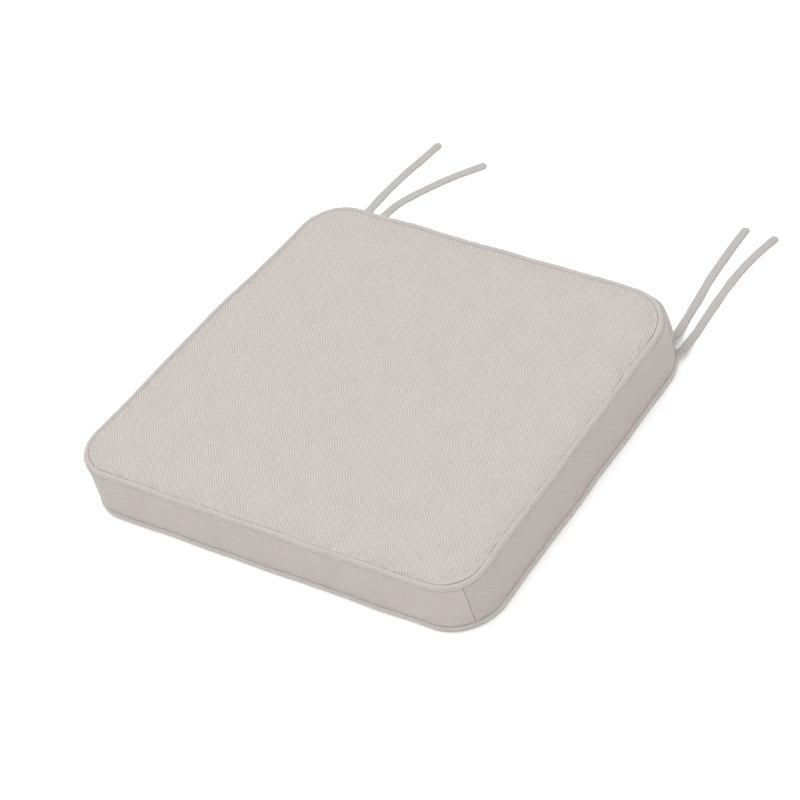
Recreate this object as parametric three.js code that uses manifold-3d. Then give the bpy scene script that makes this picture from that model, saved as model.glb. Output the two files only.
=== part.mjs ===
// Box-edged chair seat pad with piped seams, a zip in its rear edge and two pairs of ties.
// Millimetres. +Z is up, the front edge faces -Y, and the origin is under the middle of the pad.
import * as THREE from 'three'
import { mergeVertices } from 'three/addons/utils/BufferGeometryUtils.js'
import Module from 'manifold-3d'

const manifold = await Module()
manifold.setup()

// ---- Driving dimensions ----

// The pad in plan, over the piping. Widths are to the corners before they are rounded.
const FRONT_WIDTH = 450
const BACK_WIDTH = 408
const DEPTH = 380
const FRONT_RADIUS = 42
const BACK_RADIUS = 50
const CORNER_STEPS = 8
const INNER_RADIUS = 8

// The pad in height.
const SEAM_HEIGHT = 57
const CROWN = 3.5

const FABRIC = 1.2
const GAP = 0.3
const BAND_END_GAP = 0.2
const PIPING_RADIUS = 3
const PIPING_WALL = 0.8
// Half the angle, in degrees, of the slit along a welt.
const PIPING_SLIT = 10
const WELT_STEPS = 8
const CORD_RADIUS = 1.8
const CORD_SIDES = 8

const PANEL_INSET = 6.2
const PANEL_DROP = 0.5
const BAND_INSET = 2.5

// Filling, from the outside in: the lining, the wadding and the foam.
const LINER = 0.6
const WADDING = 3
const FILL_SIDE = 4.2
const FILL_EDGE = 7.7
const FILL_BEVEL = 6.7
// How far each layer's bevel moves in for each millimetre of depth.
const FILL_TAPER = 0.6

// Zip, along the middle of the rear edge.
const ZIP_LENGTH = 290
const ZIP_HEIGHT = 28.5
const ZIP_WINDOW = 9.6
const ZIP_MARGIN = 4
const TAPE_WIDTH = 9
const TAPE = 0.6
const TAPE_INSET = 5.8
const COIL_SPREAD = 0.55
const COIL_WIDTH = 1.5
const COIL_DEPTH = 1.6
const STOP_LENGTH = 3
const SLIDER_LENGTH = 11
const SLIDER_WIDTH = 7.2
const SLIDER_PLATE = 1
const SLIDER_FLANGE = 0.8
const SLIDER_WEB = 0.5
const BRIDGE_LENGTH = 6
const BRIDGE_WIDTH = 1.4
const BRIDGE_WALL = 0.7
const BRIDGE_ROOM = 1.7
const PULL_LENGTH = 22
const PULL_WIDTH = 6
const PULL_THICKNESS = 0.9
const PULL_BAR = 0.9
const PULL_WINDOW = 9

// Ties, flat strips sewn into the bottom seam at the rear corners.
const TIE_WIDTH = 8.4
const TIE_THICKNESS = 2
const TIE_STEPS = 15
// Each route is the middle of one strip, from the seam to its free end.
const TIE_ROUTES = {
  tie_left_outer: [
    [-196.8, 172.4, 7.3], [-199.5, 178.5, 6.9], [-201.5, 188, 4.4], [-203, 200, 2.2],
    [-204.2, 218, 1.4], [-204.2, 239, 1.3], [-203.6, 266, 1.3], [-200.6, 296, 1.3],
    [-197, 317, 1.3], [-193.8, 340.5, 1.3],
  ],
  tie_left_inner: [
    [-182.7, 184.4, 7.3], [-184.4, 190.4, 6.9], [-185.7, 199, 4.3], [-186, 209, 2.1],
    [-185.8, 221, 1.4], [-184.8, 238, 1.3], [-179.9, 258, 1.3], [-165.7, 284, 1.3],
    [-150.2, 307, 1.3], [-130.6, 330.2, 1.3],
  ],
  tie_right_inner: [
    [180.4, 183.3, 7.3], [181.5, 189.1, 7], [179.2, 197, 4.4], [176.4, 207, 2.1],
    [173.9, 221, 1.4], [170.6, 243, 1.3], [166.5, 267, 1.3], [164, 293, 1.3],
    [162.3, 316, 1.3], [161.4, 338.5, 1.3],
  ],
  tie_right_outer: [
    [196.1, 170.9, 7.3], [197.6, 176.6, 6.9], [195.6, 185.5, 4.4], [193.8, 196, 2.2],
    [193.1, 206, 1.4], [191.4, 219, 1.3], [188.9, 245, 1.3], [187.2, 270, 1.3],
    [187.4, 293, 1.3], [189.9, 315, 1.3], [194.4, 337.5, 1.3],
  ],
}

// ---- Materials ----

function finish(color, roughness, metalness = 0) {
  return new THREE.MeshStandardMaterial({ color, roughness, metalness })
}

const twill = () => finish(0xc9c4be, 0.92)
const lining = () => finish(0xf0efec, 0.9)
const wadding = () => finish(0xfafaf8, 0.98)
const foam = () => finish(0xf2ecd8, 0.95)
const cotton = () => finish(0xece8e0, 0.9)
const tape = () => finish(0xc4beb6, 0.85)
const nylon = () => finish(0xbeb8b0, 0.45)
const zinc = () => finish(0xb9bbbd, 0.35, 0.9)

// ---- Outline of the pad ----

const SLOPE = (FRONT_WIDTH - BACK_WIDTH) / 2 / DEPTH
const SIDE_ANGLE = Math.atan(SLOPE)
const BACK_Y = DEPTH / 2

// Half the width of the pad at a distance y from its middle.
function halfWidth(y) {
  return (FRONT_WIDTH + BACK_WIDTH) / 4 - SLOPE * y
}

// The right half's corner arc at the front (end = -1) or the back (end = 1), as [x, y] points.
function cornerArc(end, inset) {
  const outer = end < 0 ? FRONT_RADIUS : BACK_RADIUS
  const radius = Math.max(outer - inset, INNER_RADIUS)
  const y = end * (BACK_Y - inset - radius)
  const x = halfWidth(y) - (inset + radius) / Math.cos(SIDE_ANGLE)
  const start = end < 0 ? -Math.PI / 2 : SIDE_ANGLE
  const stop = end < 0 ? SIDE_ANGLE : Math.PI / 2
  return Array.from({ length: CORNER_STEPS + 1 }, (_, i) => {
    const angle = start + (stop - start) * i / CORNER_STEPS
    return [x + radius * Math.cos(angle), y + radius * Math.sin(angle)]
  })
}

// The whole outline, moved inward by inset and laid at height z. It runs anticlockwise from the
// front right corner, and every ring has the same number of points.
function ring([inset, z]) {
  const right = [...cornerArc(-1, inset), ...cornerArc(1, inset)]
  const left = right.map(([x, y]) => [-x, y]).reverse()
  return [...right, ...left].map(([x, y]) => new THREE.Vector3(x, y, z))
}

const RING_SIZE = 4 * (CORNER_STEPS + 1)
// Where on a ring the middle of each corner lies.
const FRONT_RIGHT = CORNER_STEPS / 2
const BACK_RIGHT = FRONT_RIGHT + CORNER_STEPS + 1
const BACK_LEFT = BACK_RIGHT + CORNER_STEPS + 1
const FRONT_LEFT = BACK_LEFT + CORNER_STEPS + 1

// ---- Solids ----

function geometry(points, triangles) {
  const shape = new THREE.BufferGeometry()
  shape.setAttribute('position', new THREE.Float32BufferAttribute(points.flatMap(p => p.toArray()), 3))
  shape.setIndex(triangles.flat())
  return shape
}

// A fan that closes the loop of points that starts at index first.
function fan(points, first, count, upward) {
  const middle = new THREE.Vector3()
  for (let i = 0; i < count; i++) middle.addScaledVector(points[first + i], 1 / count)
  const centre = points.push(middle) - 1
  return Array.from({ length: count }, (_, i) => {
    const a = first + i
    const b = first + (i + 1) % count
    return upward ? [centre, a, b] : [centre, b, a]
  })
}

// The walls between neighbouring loops of points. The last loop joins the first where closed is true.
function walls(loops, size, closed) {
  const triangles = []
  const last = closed ? loops : loops - 1
  for (let i = 0; i < last; i++) {
    for (let j = 0; j < size; j++) {
      const a = i * size + j
      const b = i * size + (j + 1) % size
      const c = (i + 1) % loops * size + j
      const d = (i + 1) % loops * size + (j + 1) % size
      triangles.push([a, b, d], [a, d, c])
    }
  }
  return triangles
}

// A solid stacked from rings, [inset, z] by [inset, z], from its underside to its top.
function stack(levels) {
  const points = levels.flatMap(ring)
  const triangles = walls(levels.length, RING_SIZE, false)
  triangles.push(...fan(points, 0, RING_SIZE, false))
  triangles.push(...fan(points, (levels.length - 1) * RING_SIZE, RING_SIZE, true))
  return geometry(points, triangles)
}

// A section of [inset, z] points carried all the way round the pad.
function hoop(section) {
  return geometry(section.flatMap(ring), walls(section.length, RING_SIZE, true))
}

// A section carried along part of the outline, with a small gap left at each end.
function strip(section, from, to) {
  const count = to - from + 1
  const lines = section.map(level => {
    const loop = ring(level)
    const line = Array.from({ length: count }, (_, i) => loop[(from + i) % RING_SIZE].clone())
    pullBack(line[0], line[1])
    pullBack(line[count - 1], line[count - 2])
    return line
  })
  const loops = Array.from({ length: count }, (_, i) => lines.map(line => line[i]).reverse())
  const points = loops.flat()
  const size = section.length
  const triangles = walls(count, size, false)
  triangles.push(...fan(points, 0, size, false))
  triangles.push(...fan(points, (count - 1) * size, size, true))
  return geometry(points, triangles)
}

function pullBack(end, neighbour) {
  end.addScaledVector(neighbour.clone().sub(end).normalize(), BAND_END_GAP)
}

// A block between two opposite corners.
function block(low, high) {
  const size = high.map((value, i) => value - low[i])
  const middle = high.map((value, i) => (value + low[i]) / 2)
  return new THREE.BoxGeometry(...size).translate(...middle)
}

function toManifold(shape) {
  const bare = shape.clone()
  bare.deleteAttribute('normal')
  bare.deleteAttribute('uv')
  const merged = mergeVertices(bare, 1e-4)
  return new manifold.Manifold(new manifold.Mesh({
    numProp: 3,
    vertProperties: new Float32Array(merged.attributes.position.array),
    triVerts: new Uint32Array(merged.index.array),
  }))
}

function fromManifold(solid) {
  const mesh = solid.getMesh()
  const shape = new THREE.BufferGeometry()
  shape.setAttribute('position', new THREE.BufferAttribute(mesh.vertProperties, 3))
  shape.setIndex(new THREE.BufferAttribute(mesh.triVerts, 1))
  return shape
}

function cut(shape, ...tools) {
  return fromManifold(tools.reduce((solid, tool) => solid.subtract(toManifold(tool)), toManifold(shape)))
}

function join(...shapes) {
  return fromManifold(shapes.map(toManifold).reduce((solid, more) => solid.add(more)))
}

const seatPad = new THREE.Group()

function addPiece(name, shape, material) {
  const flat = shape.index ? shape.toNonIndexed() : shape
  flat.computeVertexNormals()
  const piece = new THREE.Mesh(flat, material)
  piece.name = name
  seatPad.add(piece)
}

// ---- Cover ----

// How far the top stands above its edge, at a distance in from that edge.
const CROWN_RINGS = [[0, 0], [5, 0.36], [14, 0.68], [30, 0.9], [58, 1]]

function crownLevels(inset, z) {
  return CROWN_RINGS.map(([distance, rise]) => [inset + distance, z + CROWN * rise])
}

function topPanel() {
  const top = crownLevels(PANEL_INSET, SEAM_HEIGHT - PANEL_DROP)
  const underside = top.map(([inset, z]) => [inset, z - FABRIC]).reverse()
  return stack([...underside, ...top])
}

function bottomPanel() {
  return stack([[PANEL_INSET, 0], [PANEL_INSET, FABRIC]])
}

// A piece of the side of the cover between two heights.
function band(low, high, from, to) {
  const inner = BAND_INSET + FABRIC
  return strip([[BAND_INSET, low], [BAND_INSET, high], [inner, high], [inner, low]], from, to)
}

const BAND_LOW = 2 * PIPING_RADIUS + GAP
const BAND_HIGH = SEAM_HEIGHT - 2 * PIPING_RADIUS - GAP

function rearBand(low, high) {
  const window = block(
    [-ZIP_LENGTH / 2 - ZIP_MARGIN, BACK_Y - TAPE_INSET, ZIP_HEIGHT - ZIP_WINDOW / 2],
    [ZIP_LENGTH / 2 + ZIP_MARGIN, BACK_Y, ZIP_HEIGHT + ZIP_WINDOW / 2],
  )
  return cut(band(low, high, BACK_RIGHT, BACK_LEFT), window)
}

// A welt: fabric wrapped round a cord and open along a slit on the side of the filling.
function pipingCover(z) {
  const arc = (radius, start, stop) => Array.from({ length: WELT_STEPS + 1 }, (_, i) => {
    const angle = THREE.MathUtils.degToRad(start + (stop - start) * i / WELT_STEPS)
    return [PIPING_RADIUS + radius * Math.cos(angle), z + radius * Math.sin(angle)]
  })
  const outside = arc(PIPING_RADIUS, 360 - PIPING_SLIT, PIPING_SLIT)
  const inside = arc(PIPING_RADIUS - PIPING_WALL, PIPING_SLIT, 360 - PIPING_SLIT)
  return hoop([...outside, ...inside])
}

function pipingCord(z) {
  const section = Array.from({ length: CORD_SIDES }, (_, i) => {
    const angle = -2 * Math.PI * i / CORD_SIDES
    return [PIPING_RADIUS + CORD_RADIUS * Math.cos(angle), z + CORD_RADIUS * Math.sin(angle)]
  })
  return hoop(section)
}

function addCover() {
  addPiece('top_panel', topPanel(), twill())
  addPiece('bottom_panel', bottomPanel(), twill())
  addPiece('right_band', band(BAND_LOW, BAND_HIGH, FRONT_RIGHT, BACK_RIGHT), twill())
  addPiece('left_band', band(BAND_LOW, BAND_HIGH, BACK_LEFT, FRONT_LEFT), twill())
  addPiece('front_band', band(BAND_LOW, BAND_HIGH, FRONT_LEFT, FRONT_RIGHT + RING_SIZE), twill())
  addPiece('rear_band_lower', rearBand(BAND_LOW, ZIP_HEIGHT - GAP / 2), twill())
  addPiece('rear_band_upper', rearBand(ZIP_HEIGHT + GAP / 2, BAND_HIGH), twill())
  addPiece('bottom_piping_cover', pipingCover(PIPING_RADIUS), twill())
  addPiece('top_piping_cover', pipingCover(SEAM_HEIGHT - PIPING_RADIUS), twill())
  addPiece('bottom_piping_cord', pipingCord(PIPING_RADIUS), cotton())
  addPiece('top_piping_cord', pipingCord(SEAM_HEIGHT - PIPING_RADIUS), cotton())
}

// ---- Filling ----

// A filled form with bevelled edges, at a depth below the inside of the cover.
function filling(depth) {
  const low = FABRIC + GAP + depth
  const high = SEAM_HEIGHT - PANEL_DROP - FABRIC - GAP - depth
  const side = FILL_SIDE + depth
  const edge = FILL_EDGE + FILL_TAPER * depth
  const bevel = FILL_BEVEL - FILL_TAPER * depth
  return stack([[edge, low], [side, low + bevel], [side, high - bevel], ...crownLevels(edge, high)])
}

function innerLiner() {
  const halfLength = ZIP_LENGTH / 2 + 2 * ZIP_MARGIN
  const halfHeight = ZIP_WINDOW + ZIP_MARGIN
  const opening = block(
    [-halfLength, BACK_Y - FILL_SIDE - 2 * LINER, ZIP_HEIGHT - halfHeight],
    [halfLength, BACK_Y, ZIP_HEIGHT + halfHeight],
  )
  return cut(filling(0), filling(LINER), opening)
}

// The wadding goes over, under and round three sides, and is open across the back.
function waddingWrap() {
  const outside = LINER + GAP
  const back = block([-BACK_WIDTH, BACK_Y - BACK_RADIUS, 0], [BACK_WIDTH, BACK_Y, 2 * SEAM_HEIGHT])
  return cut(filling(outside), filling(outside + WADDING), back)
}

function addFilling() {
  addPiece('inner_liner', innerLiner(), lining())
  addPiece('wadding_wrap', waddingWrap(), wadding())
  addPiece('foam_core', filling(LINER + WADDING + 2 * GAP), foam())
}

// ---- Zip ----

const TAPE_FRONT = BACK_Y - TAPE_INSET
const COIL_BACK = TAPE_FRONT + GAP
const COIL_FRONT = COIL_BACK + COIL_DEPTH
const PLATE_BACK = COIL_FRONT + GAP
const PLATE_FRONT = PLATE_BACK + SLIDER_PLATE
const COIL_END = ZIP_LENGTH / 2 - STOP_LENGTH - GAP
const SLIDER_X = COIL_END - SLIDER_LENGTH / 2
const PIVOT_Y = PLATE_FRONT + BRIDGE_ROOM / 2

// A block on the zip's upper (side = 1) or lower (side = -1) half, near and far from its middle line.
function zipBlock(side, x, y, near, far) {
  const z = [ZIP_HEIGHT + side * near, ZIP_HEIGHT + side * far].sort((a, b) => a - b)
  return block([x[0], y[0], z[0]], [x[1], y[1], z[1]])
}

function addZipHalf(name, side) {
  const tapeY = [TAPE_FRONT - TAPE, TAPE_FRONT]
  const coilY = [COIL_BACK, COIL_FRONT]
  const half = ZIP_LENGTH / 2
  const far = COIL_SPREAD + COIL_WIDTH
  addPiece(`zip_tape_${name}`, zipBlock(side, [-half, half], tapeY, COIL_SPREAD, TAPE_WIDTH), tape())
  addPiece(`zip_coil_${name}`, zipBlock(side, [-COIL_END, COIL_END], coilY, COIL_SPREAD, far), nylon())
  addPiece(`zip_top_stop_${name}`, zipBlock(side, [COIL_END + GAP, half], coilY, COIL_SPREAD, far), zinc())
}

// Two plates joined by a web between the coils, with a bridge over the pull's bar.
function zipSlider() {
  const x = [SLIDER_X - SLIDER_LENGTH / 2, SLIDER_X + SLIDER_LENGTH / 2]
  const half = SLIDER_WIDTH / 2
  const innerPlate = TAPE_FRONT - TAPE - GAP
  const plate = (low, high) => block([x[0], low, ZIP_HEIGHT - half], [x[1], high, ZIP_HEIGHT + half])
  const flange = side => zipBlock(side, x, [COIL_BACK, PLATE_BACK], half - SLIDER_FLANGE, half)
  const web = block(
    [SLIDER_X - SLIDER_LENGTH / 6, innerPlate - SLIDER_PLATE, ZIP_HEIGHT - SLIDER_WEB / 2],
    [SLIDER_X + SLIDER_LENGTH / 6, PLATE_FRONT, ZIP_HEIGHT + SLIDER_WEB / 2],
  )
  const bridge = (reach, top) => block(
    [SLIDER_X - reach, PLATE_FRONT, ZIP_HEIGHT - BRIDGE_WIDTH / 2],
    [SLIDER_X + reach, top, ZIP_HEIGHT + BRIDGE_WIDTH / 2],
  )
  const archTop = PLATE_FRONT + BRIDGE_ROOM + BRIDGE_WALL
  const arch = cut(
    bridge(BRIDGE_LENGTH / 2, archTop),
    bridge(BRIDGE_LENGTH / 2 - BRIDGE_WALL, PLATE_FRONT + BRIDGE_ROOM),
  )
  return join(
    plate(PLATE_BACK, PLATE_FRONT),
    plate(innerPlate - SLIDER_PLATE, innerPlate),
    flange(1),
    flange(-1),
    web,
    arch,
  )
}

// A flat tab with a window at one end, whose end bar passes under the slider's bridge.
function zipPull() {
  const low = PIVOT_Y - PULL_THICKNESS / 2
  const high = PIVOT_Y + PULL_THICKNESS / 2
  const start = SLIDER_X + PULL_BAR / 2
  const tab = block(
    [start - PULL_LENGTH, low, ZIP_HEIGHT - PULL_WIDTH / 2],
    [start, high, ZIP_HEIGHT + PULL_WIDTH / 2],
  )
  const window = block(
    [start - PULL_BAR - PULL_WINDOW, low, ZIP_HEIGHT - PULL_WIDTH / 2 + PULL_BAR],
    [start - PULL_BAR, high, ZIP_HEIGHT + PULL_WIDTH / 2 - PULL_BAR],
  )
  return cut(tab, window)
}

function addZip() {
  addZipHalf('upper', 1)
  addZipHalf('lower', -1)
  const stopX = [-ZIP_LENGTH / 2, -COIL_END - GAP]
  const stopHalf = COIL_SPREAD + COIL_WIDTH
  addPiece('zip_bottom_stop', block(
    [stopX[0], COIL_BACK, ZIP_HEIGHT - stopHalf],
    [stopX[1], COIL_FRONT, ZIP_HEIGHT + stopHalf],
  ), zinc())
  addPiece('zip_slider', zipSlider(), zinc())
  addPiece('zip_pull', zipPull(), zinc())
}

// ---- Ties ----

function tieSection() {
  const w = TIE_WIDTH / 2
  const t = TIE_THICKNESS / 2
  const corner = t / 2
  const section = new THREE.Shape()
  section.moveTo(t, -w + corner)
  section.lineTo(t, w - corner)
  section.lineTo(t - corner, w)
  section.lineTo(-t + corner, w)
  section.lineTo(-t, w - corner)
  section.lineTo(-t, -w + corner)
  section.lineTo(-t + corner, -w)
  section.lineTo(t - corner, -w)
  return section
}

function addTies() {
  for (const [name, route] of Object.entries(TIE_ROUTES)) {
    const curve = new THREE.CatmullRomCurve3(route.map(point => new THREE.Vector3(...point)))
    const shape = new THREE.ExtrudeGeometry(tieSection(), { steps: TIE_STEPS, extrudePath: curve })
    addPiece(name, shape, twill())
  }
}

addCover()
addFilling()
addZip()
addTies()

export default seatPad
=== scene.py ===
# Looks of a chair seat pad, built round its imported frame. Metres, +Z up, front edge towards -Y.
import math
from functools import partial

import bpy
import numpy as np
from mathutils import Matrix, Vector


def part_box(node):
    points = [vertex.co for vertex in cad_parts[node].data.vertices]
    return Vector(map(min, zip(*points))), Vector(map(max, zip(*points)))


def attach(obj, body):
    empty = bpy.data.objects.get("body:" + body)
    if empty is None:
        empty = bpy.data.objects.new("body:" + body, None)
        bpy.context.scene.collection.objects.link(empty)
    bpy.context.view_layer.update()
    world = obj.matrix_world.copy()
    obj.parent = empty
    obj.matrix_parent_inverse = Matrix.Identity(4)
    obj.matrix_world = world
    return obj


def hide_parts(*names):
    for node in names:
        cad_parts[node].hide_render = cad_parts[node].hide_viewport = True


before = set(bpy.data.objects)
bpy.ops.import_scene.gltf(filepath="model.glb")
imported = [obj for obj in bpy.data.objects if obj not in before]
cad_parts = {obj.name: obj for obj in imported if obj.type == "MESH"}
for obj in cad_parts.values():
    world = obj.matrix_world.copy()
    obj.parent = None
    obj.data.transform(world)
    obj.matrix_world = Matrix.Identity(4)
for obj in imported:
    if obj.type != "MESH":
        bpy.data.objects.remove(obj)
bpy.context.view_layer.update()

# ---- Driving sizes ----

MM = 0.001
WELT_LOW, WELT_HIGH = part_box("top_piping_cover")
DEPTH = WELT_HIGH.y - WELT_LOW.y
SEAM_HEIGHT = WELT_HIGH.z
WELT_RADIUS = (WELT_HIGH.z - WELT_LOW.z) / 2
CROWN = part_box("top_panel")[1].z - SEAM_HEIGHT
FRONT_WIDTH = 0.450
BACK_WIDTH = 0.408
# Each corner as (x side, y side, outer radius at the bottom, at the top), anticlockwise from the front right.
CORNERS = (
    (1, -1, 0.046, 0.039),
    (1, 1, 0.052, 0.056),
    (-1, 1, 0.048, 0.045),
    (-1, -1, 0.044, 0.043),
)
# The least radius of a corner that is moved inward, and how thick the cloth is.
INNER_RADIUS = 0.008
CLOTH = 0.0008

# Mesh steps along half a corner, the front and back edges, and the sides.
CORNER_STEPS = 8
FRONT_STEPS = 78
SIDE_STEPS = 62
ACROSS = FRONT_STEPS + 2 * CORNER_STEPS
ALONG = SIDE_STEPS + 2 * CORNER_STEPS
RING = 2 * (ACROSS + ALONG)

SEED = 11
UP = np.array([0, 0, 1.0])


# ---- Camera ----

# Its azimuth, elevation and roll in degrees, the place it aims at, how far off it is, and its lens.
VIEW_ANGLES = (48.95, 40.93, -19.38)
VIEW_AIM = Vector((-0.0202, 0.0333, 0.0))
VIEW_DISTANCE = 3.8814
VIEW_LENS = 194.2


def add_object(name, data):
    made = bpy.data.objects.new(name, data)
    bpy.context.scene.collection.objects.link(made)
    return made


def add_camera():
    azimuth, elevation, roll = (math.radians(angle) for angle in VIEW_ANGLES)
    back = Vector((
        math.sin(azimuth) * math.cos(elevation),
        -math.cos(azimuth) * math.cos(elevation),
        math.sin(elevation),
    ))
    level = Vector((math.cos(azimuth), math.sin(azimuth), 0))
    upright = back.cross(level)
    right = math.cos(roll) * level + math.sin(roll) * upright
    up = back.cross(right)
    data = bpy.data.cameras.new("camera")
    data.sensor_width = 36
    data.lens = VIEW_LENS
    data.clip_start = 0.1
    data.clip_end = 50
    camera = add_object("camera", data)
    camera.matrix_world = (
        Matrix.Translation(VIEW_AIM + back * VIEW_DISTANCE)
        @ Matrix((right, up, back)).transposed().to_4x4()
    )
    bpy.context.scene.camera = camera


# ---- Mesh tools ----

def add_piece(name, points, faces, corner_uvs, material, slot, body="pad", replaces=()):
    """A mesh piece on a body. corner_uvs holds each face corner's place on the flat cloth, in metres."""
    mesh = bpy.data.meshes.new(name)
    mesh.from_pydata(np.asarray(points, float).tolist(), [], [list(map(int, f)) for f in faces])
    layer = mesh.uv_layers.new(name="cloth")
    layer.data.foreach_set("uv", np.asarray(corner_uvs, np.float32).ravel())
    mesh.polygons.foreach_set("use_smooth", np.ones(len(mesh.polygons), bool))
    mesh.materials.append(material)
    mesh.update()
    piece = add_object(name, mesh)
    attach(piece, body)
    if replaces:
        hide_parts(*replaces)
    return piece


def lattice(rows, columns, wrap_rows=False, wrap_columns=False, first=0):
    """Faces of a grid of points, and the unwrapped (row, column) of each face corner."""
    r = np.arange(rows if wrap_rows else rows - 1)
    c = np.arange(columns if wrap_columns else columns - 1)
    r, c = (g.ravel() for g in np.meshgrid(r, c, indexing="ij"))
    corners = np.stack([
        np.stack([r, c], -1),
        np.stack([r, c + 1], -1),
        np.stack([r + 1, c + 1], -1),
        np.stack([r + 1, c], -1),
    ], 1)
    faces = first + (corners[..., 0] % rows) * columns + corners[..., 1] % columns
    return faces, corners


def end_caps(rows, columns):
    """The two faces that close the ends of a tube's grid of points."""
    return [list(range(columns))[::-1], list(range((rows - 1) * columns, rows * columns))]


def grid_piece(name, points, flat, material, slot, wrap_rows=False, wrap_columns=False, caps=False, **how):
    """A piece from a grid of points. flat holds the cloth place of each row and column, unwrapped."""
    rows, columns = points.shape[:2]
    faces, corners = lattice(rows, columns, wrap_rows, wrap_columns)
    uvs = flat[corners[..., 0], corners[..., 1]].reshape(-1, 2)
    faces = faces.tolist()
    if caps:
        faces += end_caps(rows, columns)
        uvs = np.concatenate([uvs, flat[0, :columns][::-1], flat[-1, :columns]])
    return add_piece(name, points.reshape(-1, 3), faces, uvs, material, slot, **how)


def refined(points, closed, axis):
    """Twice as many steps along an axis, each new point on a smooth curve through its neighbours."""
    points = np.moveaxis(points, axis, 0)
    if closed:
        before, after, beyond = (np.roll(points, n, 0) for n in (1, -1, -2))
        middle = (9 * (points + after) - before - beyond) / 16
        made = np.stack([points, middle], 1).reshape(-1, *points.shape[1:])
    else:
        before = np.concatenate([2 * points[:1] - points[1:2], points[:-2]])
        beyond = np.concatenate([points[2:], 2 * points[-1:] - points[-2:-1]])
        middle = (9 * (points[:-1] + points[1:]) - before - beyond) / 16
        made = np.concatenate([points, points[:-1]])
        made[0::2] = points
        made[1::2] = middle
    return np.moveaxis(made, 0, axis)


def unit(vectors):
    return vectors / np.linalg.norm(vectors, axis=-1, keepdims=True)


def circle(angles):
    """Points of a circle with a radius of 1."""
    return np.stack([np.cos(angles), np.sin(angles)], -1)


def crossed(first, second):
    """A grid of (first, second) pairs."""
    return np.stack(np.meshgrid(first, second, indexing="ij"), -1)


def smooth_step(share):
    return share ** 2 * (3 - 2 * share)


def dome(shape):
    """A grid of heights, 1 in its middle and 0 along its edges."""
    u = np.linspace(-1, 1, shape[0])[:, None]
    v = np.linspace(-1, 1, shape[1])[None]
    return (1 - u ** 2) * (1 - v ** 2)


def distance_along(points, closed=False):
    """How far along a line of points each one lies. A closed line ends with its whole length."""
    line = np.concatenate([points, points[:1]]) if closed else points
    return np.concatenate([[0], np.cumsum(np.linalg.norm(np.diff(line, axis=0), axis=1))])


def swept(route, section, upright, closed=False):
    """A grid of points: the section's (side, up) points carried along a route whose up direction is given."""
    ahead = np.roll(route, -1, 0) - np.roll(route, 1, 0) if closed else np.gradient(route, axis=0)
    ahead = unit(ahead)
    side = unit(np.cross(ahead, upright))
    up = np.cross(side, ahead)
    section = np.broadcast_to(section, (len(route), *section.shape[-2:]))
    return route[:, None] + side[:, None] * section[..., :1] + up[:, None] * section[..., 1:]


def tube_piece(name, route, section, upright, material, slot, node, closed=False, along=None):
    """A piece with a section carried along a route, which is closed to a ring or capped at its ends."""
    grid = swept(route, section, upright, closed)
    around = distance_along(section[0] if section.ndim == 3 else section, closed=True)
    along = distance_along(route, closed) if along is None else along
    return grid_piece(name, grid, crossed(along, around), material, slot, wrap_rows=closed,
                      wrap_columns=True, caps=not closed, replaces=(node,))


def random_wave(count, lowest, highest, seed):
    """A smooth closed wave of that many points, with a root mean square of 1."""
    random = np.random.default_rng(seed)
    turn = 2 * np.pi * np.arange(count) / count
    orders = np.arange(lowest, highest + 1)
    phases = random.uniform(0, 2 * np.pi, len(orders))
    sizes = random.uniform(0.5, 1, len(orders)) / np.sqrt(orders)
    wave = (sizes[:, None] * np.sin(orders[:, None] * turn + phases[:, None])).sum(0)
    return wave / np.sqrt((wave ** 2).mean())


def waves(count, table, which=0):
    """Random waves added up, each given as (size in millimetres, lowest order, highest order, seed)."""
    return sum(size * MM * random_wave(count, lowest, highest, SEED + seed + which)
               for size, lowest, highest, seed in table)


# ---- Outline ----

SLOPE = (FRONT_WIDTH - BACK_WIDTH) / 2 / DEPTH
SIDE_ANGLE = math.atan(SLOPE)


def half_width(y):
    return (FRONT_WIDTH + BACK_WIDTH) / 4 - SLOPE * y


def corner_arc(index, inset, share):
    """A corner's middle, radius, and the directions where its arc starts and stops."""
    side, end, low, high = CORNERS[index]
    radius = max(low + (high - low) * share - inset, INNER_RADIUS)
    y = end * (DEPTH / 2 - inset - radius)
    x = side * (half_width(y) - (inset + radius) / math.cos(SIDE_ANGLE))
    right = math.pi / 2
    start = (-right, SIDE_ANGLE, right, 2 * right - SIDE_ANGLE)[index]
    stop = (SIDE_ANGLE, right, 2 * right - SIDE_ANGLE, 3 * right)[index]
    return np.array([x, y]), radius, start, stop


def arc_points(index, inset, share, half, steps):
    """Points and outward directions along the first (0) or second (1) half of a corner."""
    centre, radius, start, stop = corner_arc(index, inset, share)
    angles = start + (stop - start) * (np.arange(steps + 1) / steps + half) / 2
    outward = circle(angles)
    return centre + radius * outward, outward


def outline(inset, share=1.0, fineness=1):
    """The outline moved inward by inset: points and outward directions, anticlockwise from the middle
    of the front right corner. share is 0 at the bottom seam and 1 at the top. The count of points is the same
    for every inset."""
    points, outwards = [], []
    for index in range(4):
        steps = (SIDE_STEPS if index % 2 == 0 else FRONT_STEPS) * fineness
        leaving, leaving_out = arc_points(index, inset, share, 1, CORNER_STEPS * fineness)
        coming, coming_out = arc_points((index + 1) % 4, inset, share, 0, CORNER_STEPS * fineness)
        part = (np.arange(1, steps) / steps)[:, None]
        points += [leaving, leaving[-1] + part * (coming[0] - leaving[-1]), coming[:-1]]
        outwards += [leaving_out, np.repeat(leaving_out[-1:], steps - 1, 0), coming_out[:-1]]
    return np.concatenate(points), np.concatenate(outwards)


# Each side of the outline, from the middle of one corner to the middle of the next, and where it starts.
SIDE_START = {"right": 0, "back": ALONG, "left": ALONG + ACROSS, "front": 2 * ALONG + ACROSS}


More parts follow.
